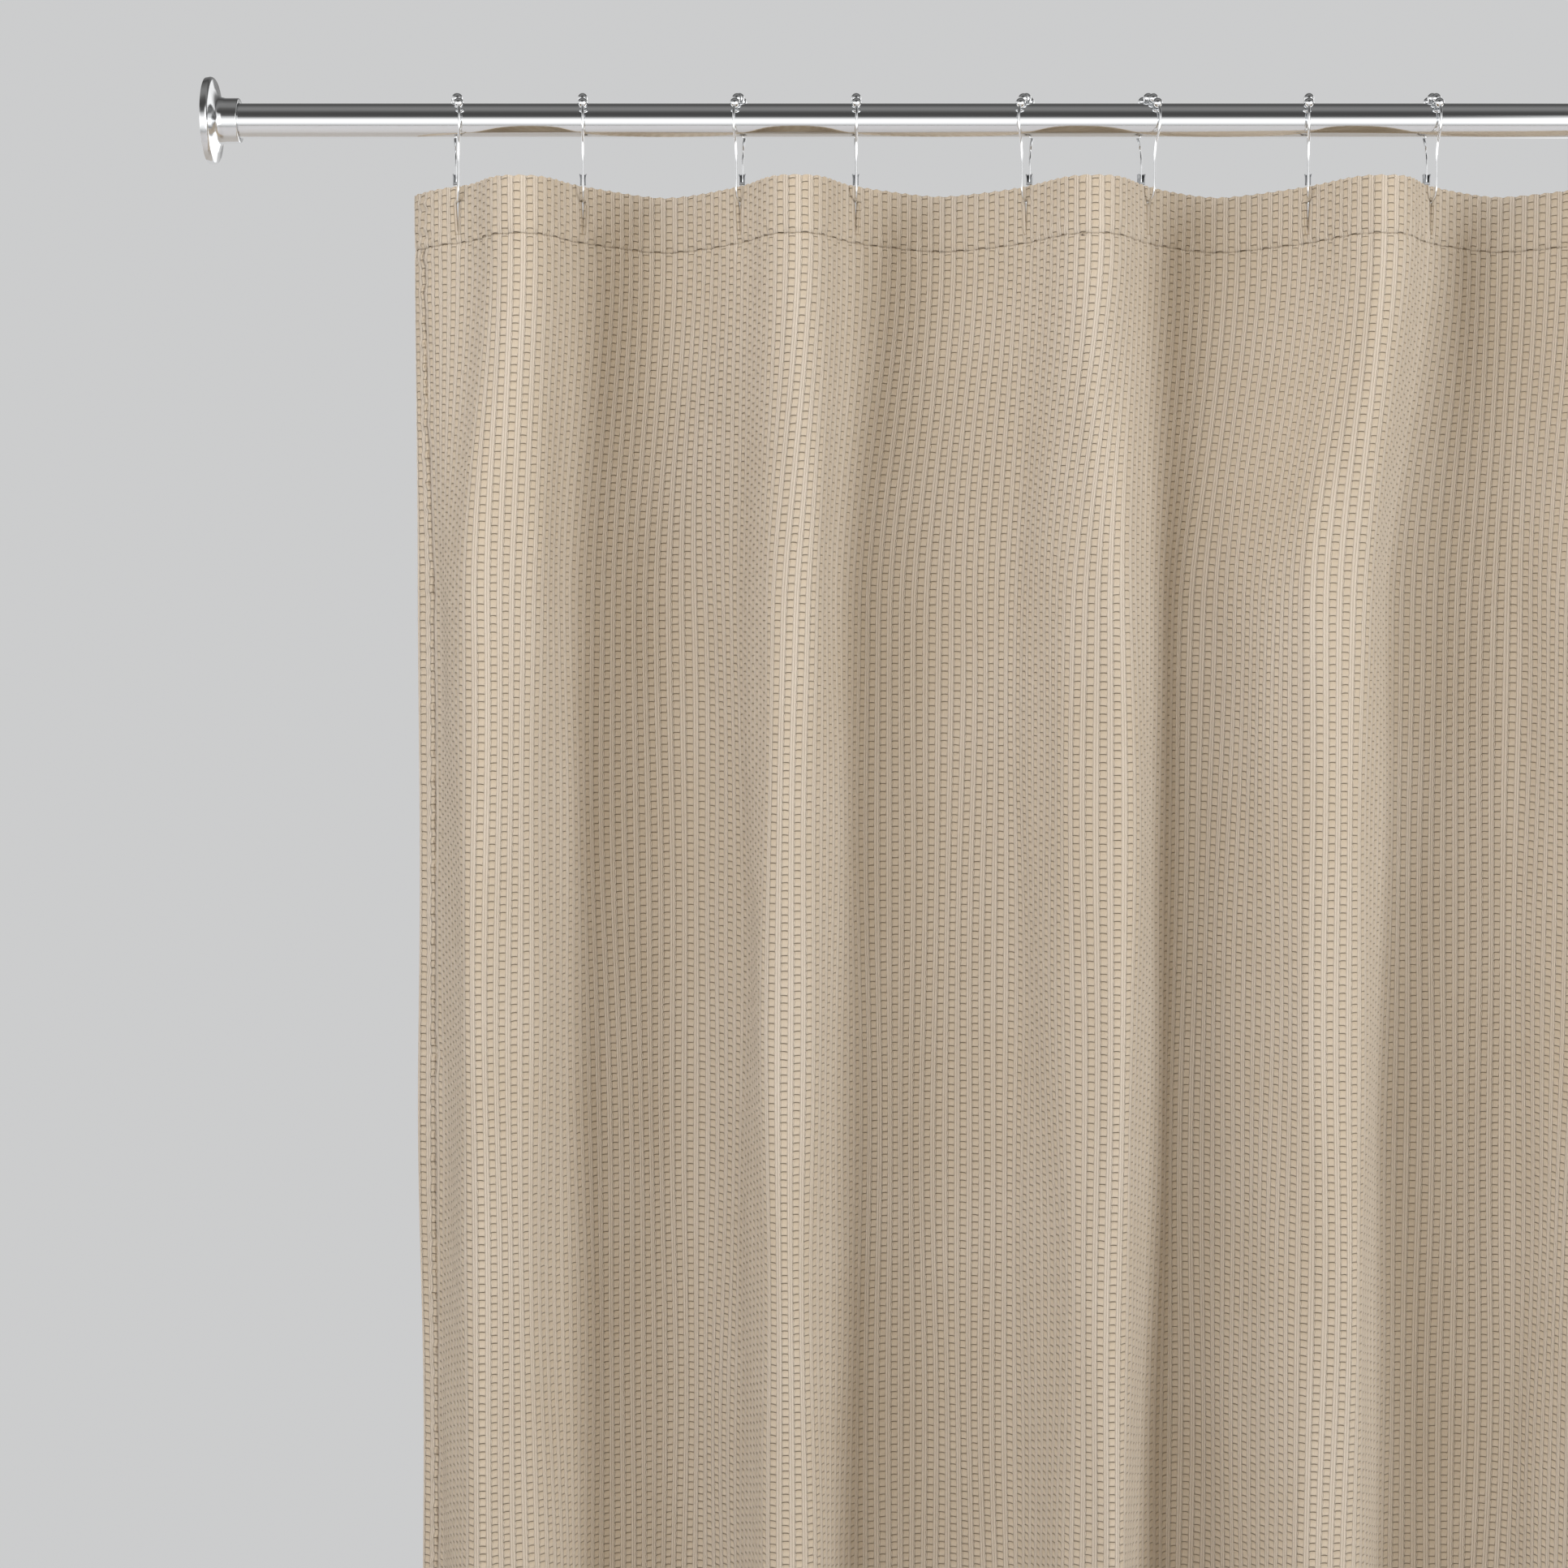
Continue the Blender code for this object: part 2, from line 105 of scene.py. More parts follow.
def placeCamera(choices):
    data = bpy.data.cameras.new("viewCamera")
    data.lens = choices["lens"]
    data.sensor_width = 36.0
    data.clip_start = 0.05
    camera = bpy.data.objects.new("viewCamera", data)
    camera.location = (rings[0][0] + choices["rightOfFirstRing"], -choices["distance"], choices["height"])
    camera.rotation_euler = (math.radians(90 - choices["pitchDown"]), 0, 0)
    bpy.context.scene.collection.objects.link(camera)
    bpy.context.scene.camera = camera
    bpy.context.scene.view_settings.view_transform = "Standard"


placeCamera(cameraSet)
print("camera placed")


# shader maths: a socket wrapped so that sums on it add Math nodes

class Value:
    def __init__(self, tree, socket):
        self.tree, self.socket = tree, socket

    def sum(self, operation, *others, **settings):
        node = self.tree.nodes.new("ShaderNodeMath")
        node.operation = operation
        for key, setting in settings.items():
            setattr(node, key, setting)
        for slot, value in enumerate((self, *others)):
            if isinstance(value, Value):
                self.tree.links.new(value.socket, node.inputs[slot])
            else:
                node.inputs[slot].default_value = value
        return Value(self.tree, node.outputs[0])

    def from_(self, operation, other):
        # the same sum with a plain number first
        node = self.tree.nodes.new("ShaderNodeMath")
        node.operation = operation
        node.inputs[0].default_value = other
        self.tree.links.new(self.socket, node.inputs[1])
        return Value(self.tree, node.outputs[0])

    def __add__(self, other): return self.sum("ADD", other)
    def __radd__(self, other): return self.sum("ADD", other)
    def __sub__(self, other): return self.sum("SUBTRACT", other)
    def __rsub__(self, other): return self.from_("SUBTRACT", other)
    def __mul__(self, other): return self.sum("MULTIPLY", other)
    def __rmul__(self, other): return self.sum("MULTIPLY", other)
    def __truediv__(self, other): return self.sum("DIVIDE", other)
    def __mod__(self, other): return self.sum("FLOORED_MODULO", other)
    def __abs__(self): return self.sum("ABSOLUTE")
    def floor(self): return self.sum("FLOOR")
    def fraction(self): return self.sum("FRACT")
    def sine(self): return self.sum("SINE")
    def clamped(self): return self.sum("ADD", 0.0, use_clamp=True)

    def ramp(self, low, high):
        # 0 below low, 1 above high, smooth between
        share = ((self - low) / (high - low)).clamped()
        return share * share * (3 - 2 * share)


class Nodes:
    # one owner's node tree: a material, a world or a geometry node group
    def __init__(self, owner):
        self.owner, self.tree = owner, owner
        if not isinstance(owner, bpy.types.NodeTree):
            owner.use_nodes = True
            self.tree = owner.node_tree

    def node(self, kind, settings=None, **values):
        made = self.tree.nodes.new(kind)
        for key, setting in (settings or {}).items():
            if key == "stops":
                ramp = made.color_ramp
                while len(ramp.elements) < len(setting):
                    ramp.elements.new(0.5)
                for element, (place, colour) in zip(ramp.elements, setting):
                    element.position, element.color = place, (*colour, 1.0)
            else:
                setattr(made, key, setting)
        for key, value in values.items():
            socket = made.inputs[key.replace("_", " ")]
            self.feed(socket, value)
        return made

    def feed(self, socket, value):
        if isinstance(value, Value):
            self.tree.links.new(value.socket, socket)
        elif isinstance(value, bpy.types.NodeSocket):
            self.tree.links.new(value, socket)
        else:
            socket.default_value = value

    def value(self, socket):
        return Value(self.tree, socket)

    def mixColour(self, share, first, second):
        made = self.node("ShaderNodeMix", {"data_type": "RGBA"})
        self.feed(made.inputs[0], share)
        self.feed(made.inputs[6], first if not isinstance(first, tuple) else (*first, 1.0))
        self.feed(made.inputs[7], second if not isinstance(second, tuple) else (*second, 1.0))
        return made.outputs[2]

    def set(self, **values):
        shader = self.tree.nodes["Principled BSDF"]
        for key, value in values.items():
            self.feed(shader.inputs[key.replace("_", " ")], value)
        return self.owner


waffle = {
    "columnWidth": 0.0093,
    "rowHeight": 0.0060,
    "relief": 0.0011,
    "threadSize": 0.00095,
    "threadRelief": 0.07,
    "colour": (0.505, 0.418, 0.300),
    # the dark colour is painted shade, and also the darker thread fuzz
    "darkFuzzAndShadeColour": (0.330, 0.250, 0.150),
    # the pale colour is a random lighter tone, and also painted highlights on raised ribs and rung tops
    "paleToneAndHighlightColour": (0.640, 0.566, 0.460),
    "roughness": 0.86,
}


def waffleFinish(name, choices, tone=1.0):
    # the piece's UV map runs 0 to 1 over the flat cloth, so the weave keeps its size on every fold
    finish = Nodes(bpy.data.materials.new(name))
    places = finish.node("ShaderNodeUVMap", {"uv_map": "flatCloth"})
    metres = finish.node("ShaderNodeVectorMath", {"operation": "SCALE"}, Vector=places.outputs[0],
                         Scale=clothCut["width"])
    split = finish.node("ShaderNodeSeparateXYZ", Vector=metres.outputs[0])
    across = finish.value(split.outputs[0]) / choices["columnWidth"]
    down = finish.value(split.outputs[1]) / choices["rowHeight"]
    wander = finish.node("ShaderNodeTexNoise", Vector=metres.outputs[0], Scale=55.0, Detail=1.0)
    wobble = (finish.value(wander.outputs[0]) - 0.5) * 0.35
    column = across.floor()
    fromMiddle = across.fraction() - 0.5
    fromLadder = abs(fromMiddle) * 2
    lift = (down + wobble + (column % 2) * 0.5 - fromLadder * fromLadder * 0.18).fraction()
    ladder = 1 - fromLadder.ramp(0.46, 0.62)
    # each rung swells slowly and drops off at its lower lip, beside one raised warp cord
    rung = lift.ramp(0.10, 0.72) * (1 - lift.ramp(0.78, 0.95))
    rib = fromLadder.ramp(0.50, 0.74) * (1 - 0.45 * fromLadder.ramp(0.90, 0.985))
    cord = 1 - abs(fromMiddle + 0.25 + (lift - 0.5) * 0.05).ramp(0.02, 0.07)
    height = rung * ladder * 1.05 + rib * 0.85 + cord * 0.75
    thread = (across * (math.tau * choices["columnWidth"] / choices["threadSize"])).sine()
    weft = (down * (math.tau * choices["rowHeight"] / choices["threadSize"])).sine()
    fuzz = finish.node("ShaderNodeTexNoise", Vector=metres.outputs[0], Scale=900.0, Detail=2.0)
    grain = finish.value(fuzz.outputs[0])
    height = height + thread * weft * choices["threadRelief"] * 0.5 + grain * choices["threadRelief"]
    bump = finish.node("ShaderNodeBump", Strength=1.0, Distance=choices["relief"], Height=height)
    # painted shade: a painted shadow under each rung's lip, painted shade in the ladder recesses and rib
    # grooves, less on the raised cords; random thread fuzz darkens it too
    lipShadowMask = lift.ramp(0.80, 0.88) * (1 - lift.ramp(0.90, 0.97)) * ladder
    grooveShadeMask = fromLadder.ramp(0.90, 0.985)
    fuzzAndPaintedShade = (lipShadowMask * 0.42 + ladder * 0.20 - cord * 0.25 + grooveShadeMask * 0.16 + (1 - grain) * 0.14).clamped()
    # random paler tone, plus painted highlights on the raised ribs and the tops of the rungs
    tones = finish.node("ShaderNodeTexNoise", Vector=metres.outputs[0], Scale=7.0, Detail=3.0)
    toneAndPaintedHighlight = (finish.value(tones.outputs[0]) * 0.5 + rib * 0.42 + rung * ladder * 0.22 - 0.20).clamped()
    plain, light, dark = (tuple(c * tone for c in choices[key])
                          for key in ("colour", "paleToneAndHighlightColour", "darkFuzzAndShadeColour"))
    colour = finish.mixColour(fuzzAndPaintedShade, finish.mixColour(toneAndPaintedHighlight, plain, light), dark)
    roughness = choices["roughness"] + grain * 0.10 - ladder * 0.03
    return finish.set(Base_Color=colour, Roughness=roughness, Normal=bump.outputs[0],
                      Sheen_Weight=0.12, Sheen_Roughness=0.45, Specular_IOR_Level=0.25)


threadLook = {"colour": (0.40, 0.31, 0.20), "twist": 2200.0, "roughness": 0.8}


def threadFinish(choices):
    finish = Nodes(bpy.data.materials.new("sewingThread"))
    places = finish.node("ShaderNodeTexCoord")
    noise = finish.node("ShaderNodeTexNoise", Vector=places.outputs["Object"],
                        Scale=choices["twist"], Detail=2.0)
    fuzz = finish.value(noise.outputs[0])
    dark = tuple(c * 0.72 for c in choices["colour"])
    colour = finish.mixColour(fuzz, dark, choices["colour"])
    bump = finish.node("ShaderNodeBump", Strength=0.6, Distance=0.0001, Height=fuzz)
    return finish.set(Base_Color=colour, Roughness=fuzz * 0.15 + choices["roughness"], Normal=bump.outputs[0])


chromeLooks = {
    "ringWire": {"colour": (0.86, 0.87, 0.88), "dullColour": (0.70, 0.71, 0.72),
                 "roughness": 0.07, "speckle": 900.0, "streak": 1.0},
    "beadChrome": {"colour": (0.88, 0.89, 0.90), "dullColour": (0.74, 0.75, 0.76),
                   "roughness": 0.05, "speckle": 700.0, "streak": 1.0},
    "catchSteel": {"colour": (0.36, 0.37, 0.38), "dullColour": (0.22, 0.22, 0.23),
                   "roughness": 0.28, "speckle": 800.0, "streak": 1.0},
    "rodChrome": {"colour": (0.84, 0.85, 0.86), "dullColour": (0.74, 0.75, 0.76),
                  "roughness": 0.09, "speckle": 60.0, "streak": 0.04},
    "flangeChrome": {"colour": (0.82, 0.83, 0.84), "dullColour": (0.70, 0.71, 0.72),
                     "roughness": 0.12, "speckle": 80.0, "streak": 1.0},
}


def chromeFinish(name, choices):
    # plating with faint polish streaks, water marks and tiny pits
    finish = Nodes(bpy.data.materials.new(name))
    places = finish.node("ShaderNodeTexCoord")
    stretched = finish.node("ShaderNodeMapping", Vector=places.outputs["Object"],
                            Scale=(choices["streak"], 1.0, 1.0))
    noise = finish.node("ShaderNodeTexNoise", Vector=stretched.outputs[0],
                        Scale=choices["speckle"], Detail=4.0)
    marks = finish.value(noise.outputs[0]).ramp(0.52, 0.78)
    pits = finish.node("ShaderNodeTexVoronoi", Vector=places.outputs["Object"], Scale=420.0)
    pit = 1 - finish.value(pits.outputs[0]).ramp(0.02, 0.07)
    colour = finish.mixColour((marks * 0.5 + pit * 0.3).clamped(), choices["colour"], choices["dullColour"])
    bump = finish.node("ShaderNodeBump", Strength=0.25, Distance=0.00002, Height=1 - pit)
    return finish.set(Base_Color=colour, Metallic=1.0, Roughness=marks * 0.10 + choices["roughness"],
                      Normal=bump.outputs[0])


# cloth cut and how it hangs: the same fold rule as the frame's cloth, in metres and degrees
clothCut = {
    "width": 1.829,
    "height": 1.829,
    "sideHem": 0.015,
    "bottomHem": 0.025,
    "endMargin": 0.055,
    "faceOut": 0.0007,
    "headerBack": 0.0012,
    "panelBack": 0.0006,
    "hemBack": 0.0014,
    "holeTop": 0.0095,
    "holeEnd": 0.0345,
    "holeHalfWidth": 0.0019,
    "holeEndHalfWidth": 0.0003,
}
folds = {
    "gapShares": (0.601, 0.749, 0.557, 0.813, 0.582, 0.768, 0.589, 0.794, 0.576, 0.755, 0.595),
    "headerAngles": (34, 50, 54, 48, 56, 56, 54, 50, 54, 50, 56, 36),
    "edgeAngle": 60.0,
    "squareness": 2.2,
    "settledAt": 0.32,
    "softness": 0.030,
    "stepsPerGap": 160,
    "settledRuns": (
        (0.058, -24), (0.293, -71),
        (0.158, 27), (0.259, 63), (0.207, 31), (0.086, 0), (0.133, -44), (0.247, -74),
        (0.089, 8), (0.276, 63), (0.180, 10), (0.208, -17), (0.279, -69),
        (0.118, -18), (0.197, 67), (0.140, 56), (0.065, -12),
        (0.129, -46), (0.193, -57), (0.128, 0), (0.262, 65),
        (0.300, 4), (0.290, -62), (0.140, 0),
        (0.215, 62), (0.150, 48), (0.170, -4), (0.130, -44), (0.205, -64), (0.128, 0),
        (0.243, 64), (0.200, 40),
    ),
}
clothCut["pitch"] = (clothCut["width"] - 2 * clothCut["endMargin"]) / (len(rings) - 1)


def walk(angles, lengths):
    x = np.concatenate(([0.0], np.cumsum(np.cos(angles) * lengths)))
    y = np.concatenate(([0.0], np.cumsum(np.sin(angles) * lengths)))
    return x, y


def gapAngles(t, first, last, side, bulge, lean):
    level = first + (last - first) * t
    turn = np.tanh(folds["squareness"] * np.cos(math.pi * t)) / math.tanh(folds["squareness"])
    return side * (level * turn + bulge * np.sin(2 * math.pi * t) + lean * np.sin(math.pi * t))


def bisect(measure, low, high):
    for _ in range(36):
        middle = (low + high) / 2
        if measure(middle) > 0:
            low = middle
        else:
            high = middle
    return (low + high) / 2


def solveGap(t, first, last, side, share):
    def levelLean(bulge):
        return bisect(lambda lean: -side * np.sin(gapAngles(t, first, last, side, bulge, lean)).mean(), -1, 1)

    def spare(bulge):
        return np.cos(gapAngles(t, first, last, side, bulge, levelLean(bulge))).mean() - share

    bulge = bisect(spare, -0.6, 0.9)
    return gapAngles(t, first, last, side, bulge, levelLean(bulge))


def headerLine():
    steps, margin = folds["stepsPerGap"], clothCut["endMargin"]
    slopes = [math.radians(angle) for angle in folds["headerAngles"]]
    edge = math.radians(folds["edgeAngle"])
    t = (np.arange(steps) + 0.5) / steps
    angles, lengths = [-(edge + (slopes[0] - edge) * t)], [np.full(steps, margin / steps)]
    for gap, share in enumerate(folds["gapShares"]):
        angles.append(solveGap(t, slopes[gap], slopes[gap + 1], -1 if gap % 2 == 0 else 1, share))
        lengths.append(np.full(steps, clothCut["pitch"] / steps))
    angles.append((1 if len(rings) % 2 == 0 else -1) * (slopes[-1] + (edge - slopes[-1]) * t))
    lengths.append(lengths[0])
    lengths = np.concatenate(lengths)
    x, y = walk(np.concatenate(angles), lengths)
    along = np.concatenate(([0.0], np.cumsum(lengths)))
    return along, x + (rod["wallToWall"] - x[-1]) / 2, y - np.interp(margin, along, y)


def settledLine(along, headerX):
    shares, angles = np.array(folds["settledRuns"]).T
    twoGaps = 2 * clothCut["pitch"]
    ends = np.cumsum(shares) * twoGaps
    middles = (along[1:] + along[:-1]) / 2
    turn = np.zeros(len(middles))
    for end, angle, later in zip(ends, angles, list(angles[1:]) + [angles[-1]]):
        turn += (later - angle) * (0.5 + 0.5 * np.tanh((middles - end) / (folds["softness"] * twoGaps)))
    x, y = walk(np.radians(turn + angles[0]), np.diff(along))
    y = y - np.polyval(np.polyfit(along, y, 1), along)
    return headerX[0] + x * (headerX[-1] - headerX[0]) / x[-1], y


along, headerX, headerY = headerLine()
lowX, lowY = settledLine(along, headerX)
print("folds solved, cloth spans", round(headerX[-1] - headerX[0], 4), "m")

# slow unevenness of the hanging cloth: size, waves per metre across and down, phase
unevenness = (
    (0.0022, 2.3, 0.55, 0.4), (0.0016, 4.1, 0.9, 2.1), (0.0012, 6.3, -1.3, 4.4),
    (0.0008, 9.7, 2.2, 1.2), (0.0006, 13.1, -2.9, 5.3),
)
puckers = {"size": 0.0013, "reach": 0.009, "grooveDepth": 0.0007, "grooveReach": 0.0022}


def smoothStep(value):
    value = np.clip(value, 0, 1)
    return value * value * (3 - 2 * value)


def waves(across, down, rows, phase=0.0):
    total = np.zeros(np.broadcast(across, down).shape)
    for size, everyAcross, everyDown, start in rows:
        total = total + size * np.sin(math.tau * (across * everyAcross + down * everyDown) + start + phase)
    return total


def clothMiddle(across, down):
    # middle of the cloth's thickness for places across and down the flat cloth
    settled = smoothStep((down - seamDepth) / (folds["settledAt"] - seamDepth))
    x = (1 - settled) * np.interp(across, along, headerX) + settled * np.interp(across, along, lowX)
    y = (1 - settled) * np.interp(across, along, headerY) + settled * np.interp(across, along, lowY)
    free = smoothStep((down - 0.03) / 0.25)
    x = x + free * waves(across, down, unevenness) * 0.8
    y = y + free * waves(across, down, unevenness, 1.7) * 1.3
    # the edge sags a little between rings and each ring draws up a short crease
    fromRing = (across - clothCut["endMargin"]) / clothCut["pitch"]
    between = np.abs(fromRing - np.round(fromRing)) * 2
    sag = 0.0011 * (between ** 2 - 0.35) * np.exp(-down / 0.10)
    ripple = 0.0006 * np.sin(math.tau * across / waffle["columnWidth"]) * np.exp(-down / 0.004)
    z = headerTop - down - sag - ripple + 0 * x
    return x, y, z


def seamOffset(across, down):
    # how far the face sinks at a sewn line, with small puckers beside it
    seams = (seamDepth, clothCut["height"] - clothCut["bottomHem"])
    sink = np.zeros(np.broadcast(across, down).shape)
    for depth in seams:
        near = np.abs(down - depth)
        sink = sink + puckers["grooveDepth"] * np.exp(-(near / puckers["grooveReach"]) ** 2)
        pucker = np.sin(math.tau * across / 0.0151 + 2 * np.sin(across * 61)) * np.sin(across * 173 + 1)
        sink = sink + puckers["size"] * pucker * np.exp(-(near / puckers["reach"]) ** 2)
    for line in (clothCut["sideHem"], clothCut["width"] - clothCut["sideHem"]):
        near = np.abs(across - line)
        sink = sink + puckers["grooveDepth"] * np.exp(-(near / puckers["grooveReach"]) ** 2)
        pucker = np.sin(math.tau * down / 0.0137 + 2 * np.sin(down * 53)) * np.sin(down * 151)
        sink = sink + puckers["size"] * pucker * np.exp(-(near / puckers["reach"]) ** 2)
    return sink


def clothNormal(across, down):
    step = 0.0008
    ahead = np.stack(clothMiddle(across + step, down))
    behind = np.stack(clothMiddle(across - step, down))
    below = np.stack(clothMiddle(across, down + step))
    above = np.stack(clothMiddle(across, down - step))
    normal = np.cross(ahead - behind, below - above, axis=0)
    return normal / np.linalg.norm(normal, axis=0)


def clothFace(across, down, out):
    # a place on the cloth, lifted towards the room by out
    return np.stack(clothMiddle(across, down)) - clothNormal(across, down) * (out - seamOffset(across, down))


def rimPlaces(start, end, count, radius, roundStart, roundEnd):
    # places from start to end, with extra ones where a rim is rounded
    rim = [radius * (1 - math.cos(math.radians(angle))) for angle in (12, 40, 65, 90)]
    places = list(np.linspace(start, end, count + 1))
    if roundStart:
        places = [start] + [start + r for r in rim[1:]] + [p for p in places if p > start + radius * 1.6]
    if roundEnd:
        places = [p for p in places if p < end - radius * 1.6] + [end - r for r in rim[:0:-1]] + [end]
    return np.array(places)


def roundShare(places, start, end, radius, roundStart, roundEnd):
    # how much of its thickness the cloth has near a rounded rim
    share = np.ones(len(places))
    for used, gap in ((roundStart, places - start), (roundEnd, end - places)):
        if used:
            gap = np.clip(gap / radius, 0.02, 1)
            share = share * np.sqrt(1 - (1 - gap) ** 2)
    return share


def closedSheet(name, columns, rows, out, share, material, slits=(), drawnApart=0.0):
    # front and back faces of a cloth piece, joined by walls along every open edge
    flatAcross, down = np.meshgrid(columns, rows)
    across = flatAcross + drawnApart
    front, back = out
    faceOut = clothFace(across, down, front * share).reshape(3, -1).T
    faceIn = np.stack(clothMiddle(across, down)) + clothNormal(across, down) * (back * share)
    faceIn = faceIn.reshape(3, -1).T
    count, layer = len(columns), across.size
    same = np.arange(layer).reshape(len(rows), count)
    for column, firstRow, lastRow in slits:
        # outside the slit its two sides are one line
        closed = np.r_[0:firstRow + 1, lastRow:len(rows)]
        same[closed, column + 1] = same[closed, column]
    joined = {column for column, _, _ in slits}
    kept = [column for column in range(count - 1) if column not in joined]
    after = np.add(kept, 1)
    quads = np.stack((same[:-1, kept], same[1:, kept], same[1:, after], same[:-1, after]), -1)
    quads = quads.reshape(-1, 4)
    edges = {}
    for quad in quads:
        for a, b in zip(quad, np.roll(quad, -1)):
            if (b, a) in edges:
                del edges[(b, a)]
            else:
                edges[(a, b)] = True
    walls = np.array([(b, a, a + layer, b + layer) for a, b in edges])
    faces = np.concatenate((quads, quads[:, ::-1] + layer, walls))
    mesh = bpy.data.meshes.new(name)
    mesh.from_pydata(np.concatenate((faceOut, faceIn)).tolist(), [], faces.tolist())
    uv = mesh.uv_layers.new(name="flatCloth")
    flat = np.stack((flatAcross.ravel() / clothCut["width"], down.ravel() / clothCut["height"]), 1)
    corners = np.zeros(len(mesh.loops), int)
    mesh.loops.foreach_get("vertex_index", corners)
    uv.data.foreach_set("uv", flat[corners % layer].astype(np.float32).ravel())
    tidy = bmesh.new()
    tidy.from_mesh(mesh)
    bmesh.ops.remove_doubles(tidy, verts=tidy.verts, dist=0.000004)
    bmesh.ops.recalc_face_normals(tidy, faces=tidy.faces)
    tidy.to_mesh(mesh)
    tidy.free()
    mesh.shade_smooth()
    mesh.materials.append(material)
    piece = bpy.data.objects.new(name, mesh)
    bpy.context.scene.collection.objects.link(piece)
    return piece


def followCloth(piece):
    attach(piece, clothBody)
    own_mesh(piece)
    return piece


slideLimit = next(j for j in frame["joints"] if j["name"] == leadSlide)["range_m"][1]
clothKeep = 1 - slideLimit / (rings[-1][0] - rings[0][0])

clothFinish = waffleFinish("waffleCloth", waffle)
hemFinish = waffleFinish("hemCloth", waffle, 0.98)
threadMaterial = threadFinish(threadLook)


def slitHalfWidth(share):
    # share runs from 0 at the top of a buttonhole to 1 at its lower end
    cut = clothCut
    width = cut["holeHalfWidth"] + (cut["holeEndHalfWidth"] - cut["holeHalfWidth"]) * share
    return width * np.clip(np.sin(share * math.pi) * 6.0, 0, 1) ** 0.5


def makeHeader():
    cut = clothCut
    radius = cut["faceOut"] * 1.4
    spacing = cut["pitch"] / 50
    holeAt = [cut["endMargin"] + ring * cut["pitch"] for ring in range(len(rings))]
    columns = list(rimPlaces(0.0, cut["endMargin"], 18, radius, True, False))
    for ring in range(len(rings) - 1):
        columns += [holeAt[ring]] + [holeAt[ring] + spacing * step for step in range(1, 50)]
        columns += [holeAt[ring + 1]]
    tail = rimPlaces(cut["width"] - cut["endMargin"], cut["width"], 18, radius, False, True)
    columns = np.array(columns + list(tail))
    rows = rimPlaces(0.0, seamDepth, 26, radius, True, False)
    holeRows = np.array([cut["holeTop"], cut["holeEnd"]])
    rows = np.sort(np.concatenate(([r for r in rows if np.abs(holeRows - r).min() > 0.0006], holeRows)))
    # both sides of every slit start from one line, and are drawn apart between the slit's ends
    depthShare = np.clip((rows - cut["holeTop"]) / (cut["holeEnd"] - cut["holeTop"]), 0, 1)
    width = slitHalfWidth(depthShare)
    firstRow, lastRow = (int(np.abs(rows - edge).argmin()) for edge in holeRows)
    width[[firstRow, lastRow]] = 0
    shift, slits = np.zeros((len(rows), len(columns))), []
    for place in holeAt:
        twins = np.flatnonzero(np.abs(columns - place) < 1e-9)
        side = np.sign(columns - place)
        side[twins[0]], side[twins[1]] = -1, 1
        near = np.clip(1 - np.abs(columns - place) / 0.010, 0, 1)
        shift += np.outer(width, side * near)
        slits.append((int(twins[0]), firstRow, lastRow))
    share = np.outer(roundShare(rows, 0.0, seamDepth, radius, True, False),
                     roundShare(columns, 0.0, cut["width"], radius, True, True))
    return closedSheet("headerBand", columns, rows, (cut["faceOut"], cut["headerBack"]), share, clothFinish,
                       slits, shift)


header = followCloth(makeHeader())
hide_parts("header_band")
print("header band sewn with", len(rings), "buttonholes")


def makePanel():
    cut = clothCut
    left, right = cut["sideHem"], cut["width"] - cut["sideHem"]
    top, bottom = seamDepth, cut["height"] - cut["bottomHem"]
    columns = np.linspace(left, right, 386)
    near = np.array([0.0, 0.0012, 0.0026, 0.0042, 0.0062, 0.009, 0.013, 0.018, 0.025, 0.034, 0.045])
    middle = np.linspace(top + 0.058, bottom - 0.020, 92)
    rows = np.concatenate((top + near, middle, bottom - near[6::-1]))
    return closedSheet("clothPanel", columns, rows, (cut["faceOut"], cut["panelBack"]), 1.0, clothFinish)


def makeSideHem(name, left):
    cut = clothCut
    start, end = (0.0, cut["sideHem"]) if left else (cut["width"] - cut["sideHem"], cut["width"])
    radius = cut["faceOut"] * 1.4
    columns = rimPlaces(start, end, 6, radius, left, not left)
    rows = np.linspace(seamDepth, cut["height"] - cut["bottomHem"], 560)
    share = roundShare(columns, start, end, radius, left, not left)
    return closedSheet(name, columns, rows, (cut["faceOut"], cut["hemBack"]), share, hemFinish)


def makeBottomHem():
    cut = clothCut
    radius = cut["faceOut"] * 1.4
    columns = rimPlaces(0.0, cut["width"], 600, radius, True, True)
    rows = rimPlaces(cut["height"] - cut["bottomHem"], cut["height"], 12, radius, False, True)
    share = np.outer(roundShare(rows, rows[0], cut["height"], radius, False, True),
                     roundShare(columns, 0.0, cut["width"], radius, True, True))
    return closedSheet("bottomHem", columns, rows, (cut["faceOut"], cut["hemBack"]), share, hemFinish)


panel = followCloth(makePanel())
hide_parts("cloth_panel")
leftHem = followCloth(makeSideHem("leftHem", True))
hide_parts("left_hem")
rightHem = followCloth(makeSideHem("rightHem", False))
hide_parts("right_hem")
bottomHem = followCloth(makeBottomHem())
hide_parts("bottom_hem")
print("panel and hems cut")


# geometry node trees: a round section swept along paths, and stitches laid along paths

def nodeTree(name, inputs):
    tree = bpy.data.node_groups.new(name, "GeometryNodeTree")
    tree.interface.new_socket("Paths", in_out="INPUT", socket_type="NodeSocketGeometry")
    for label, kind, value in inputs:
        socket = tree.interface.new_socket(label, in_out="INPUT", socket_type=kind)
        if value is not None:
            socket.default_value = value
    tree.interface.new_socket("Made", in_out="OUTPUT", socket_type="NodeSocketGeometry")
    return Nodes(tree), tree.nodes.new("NodeGroupInput").outputs


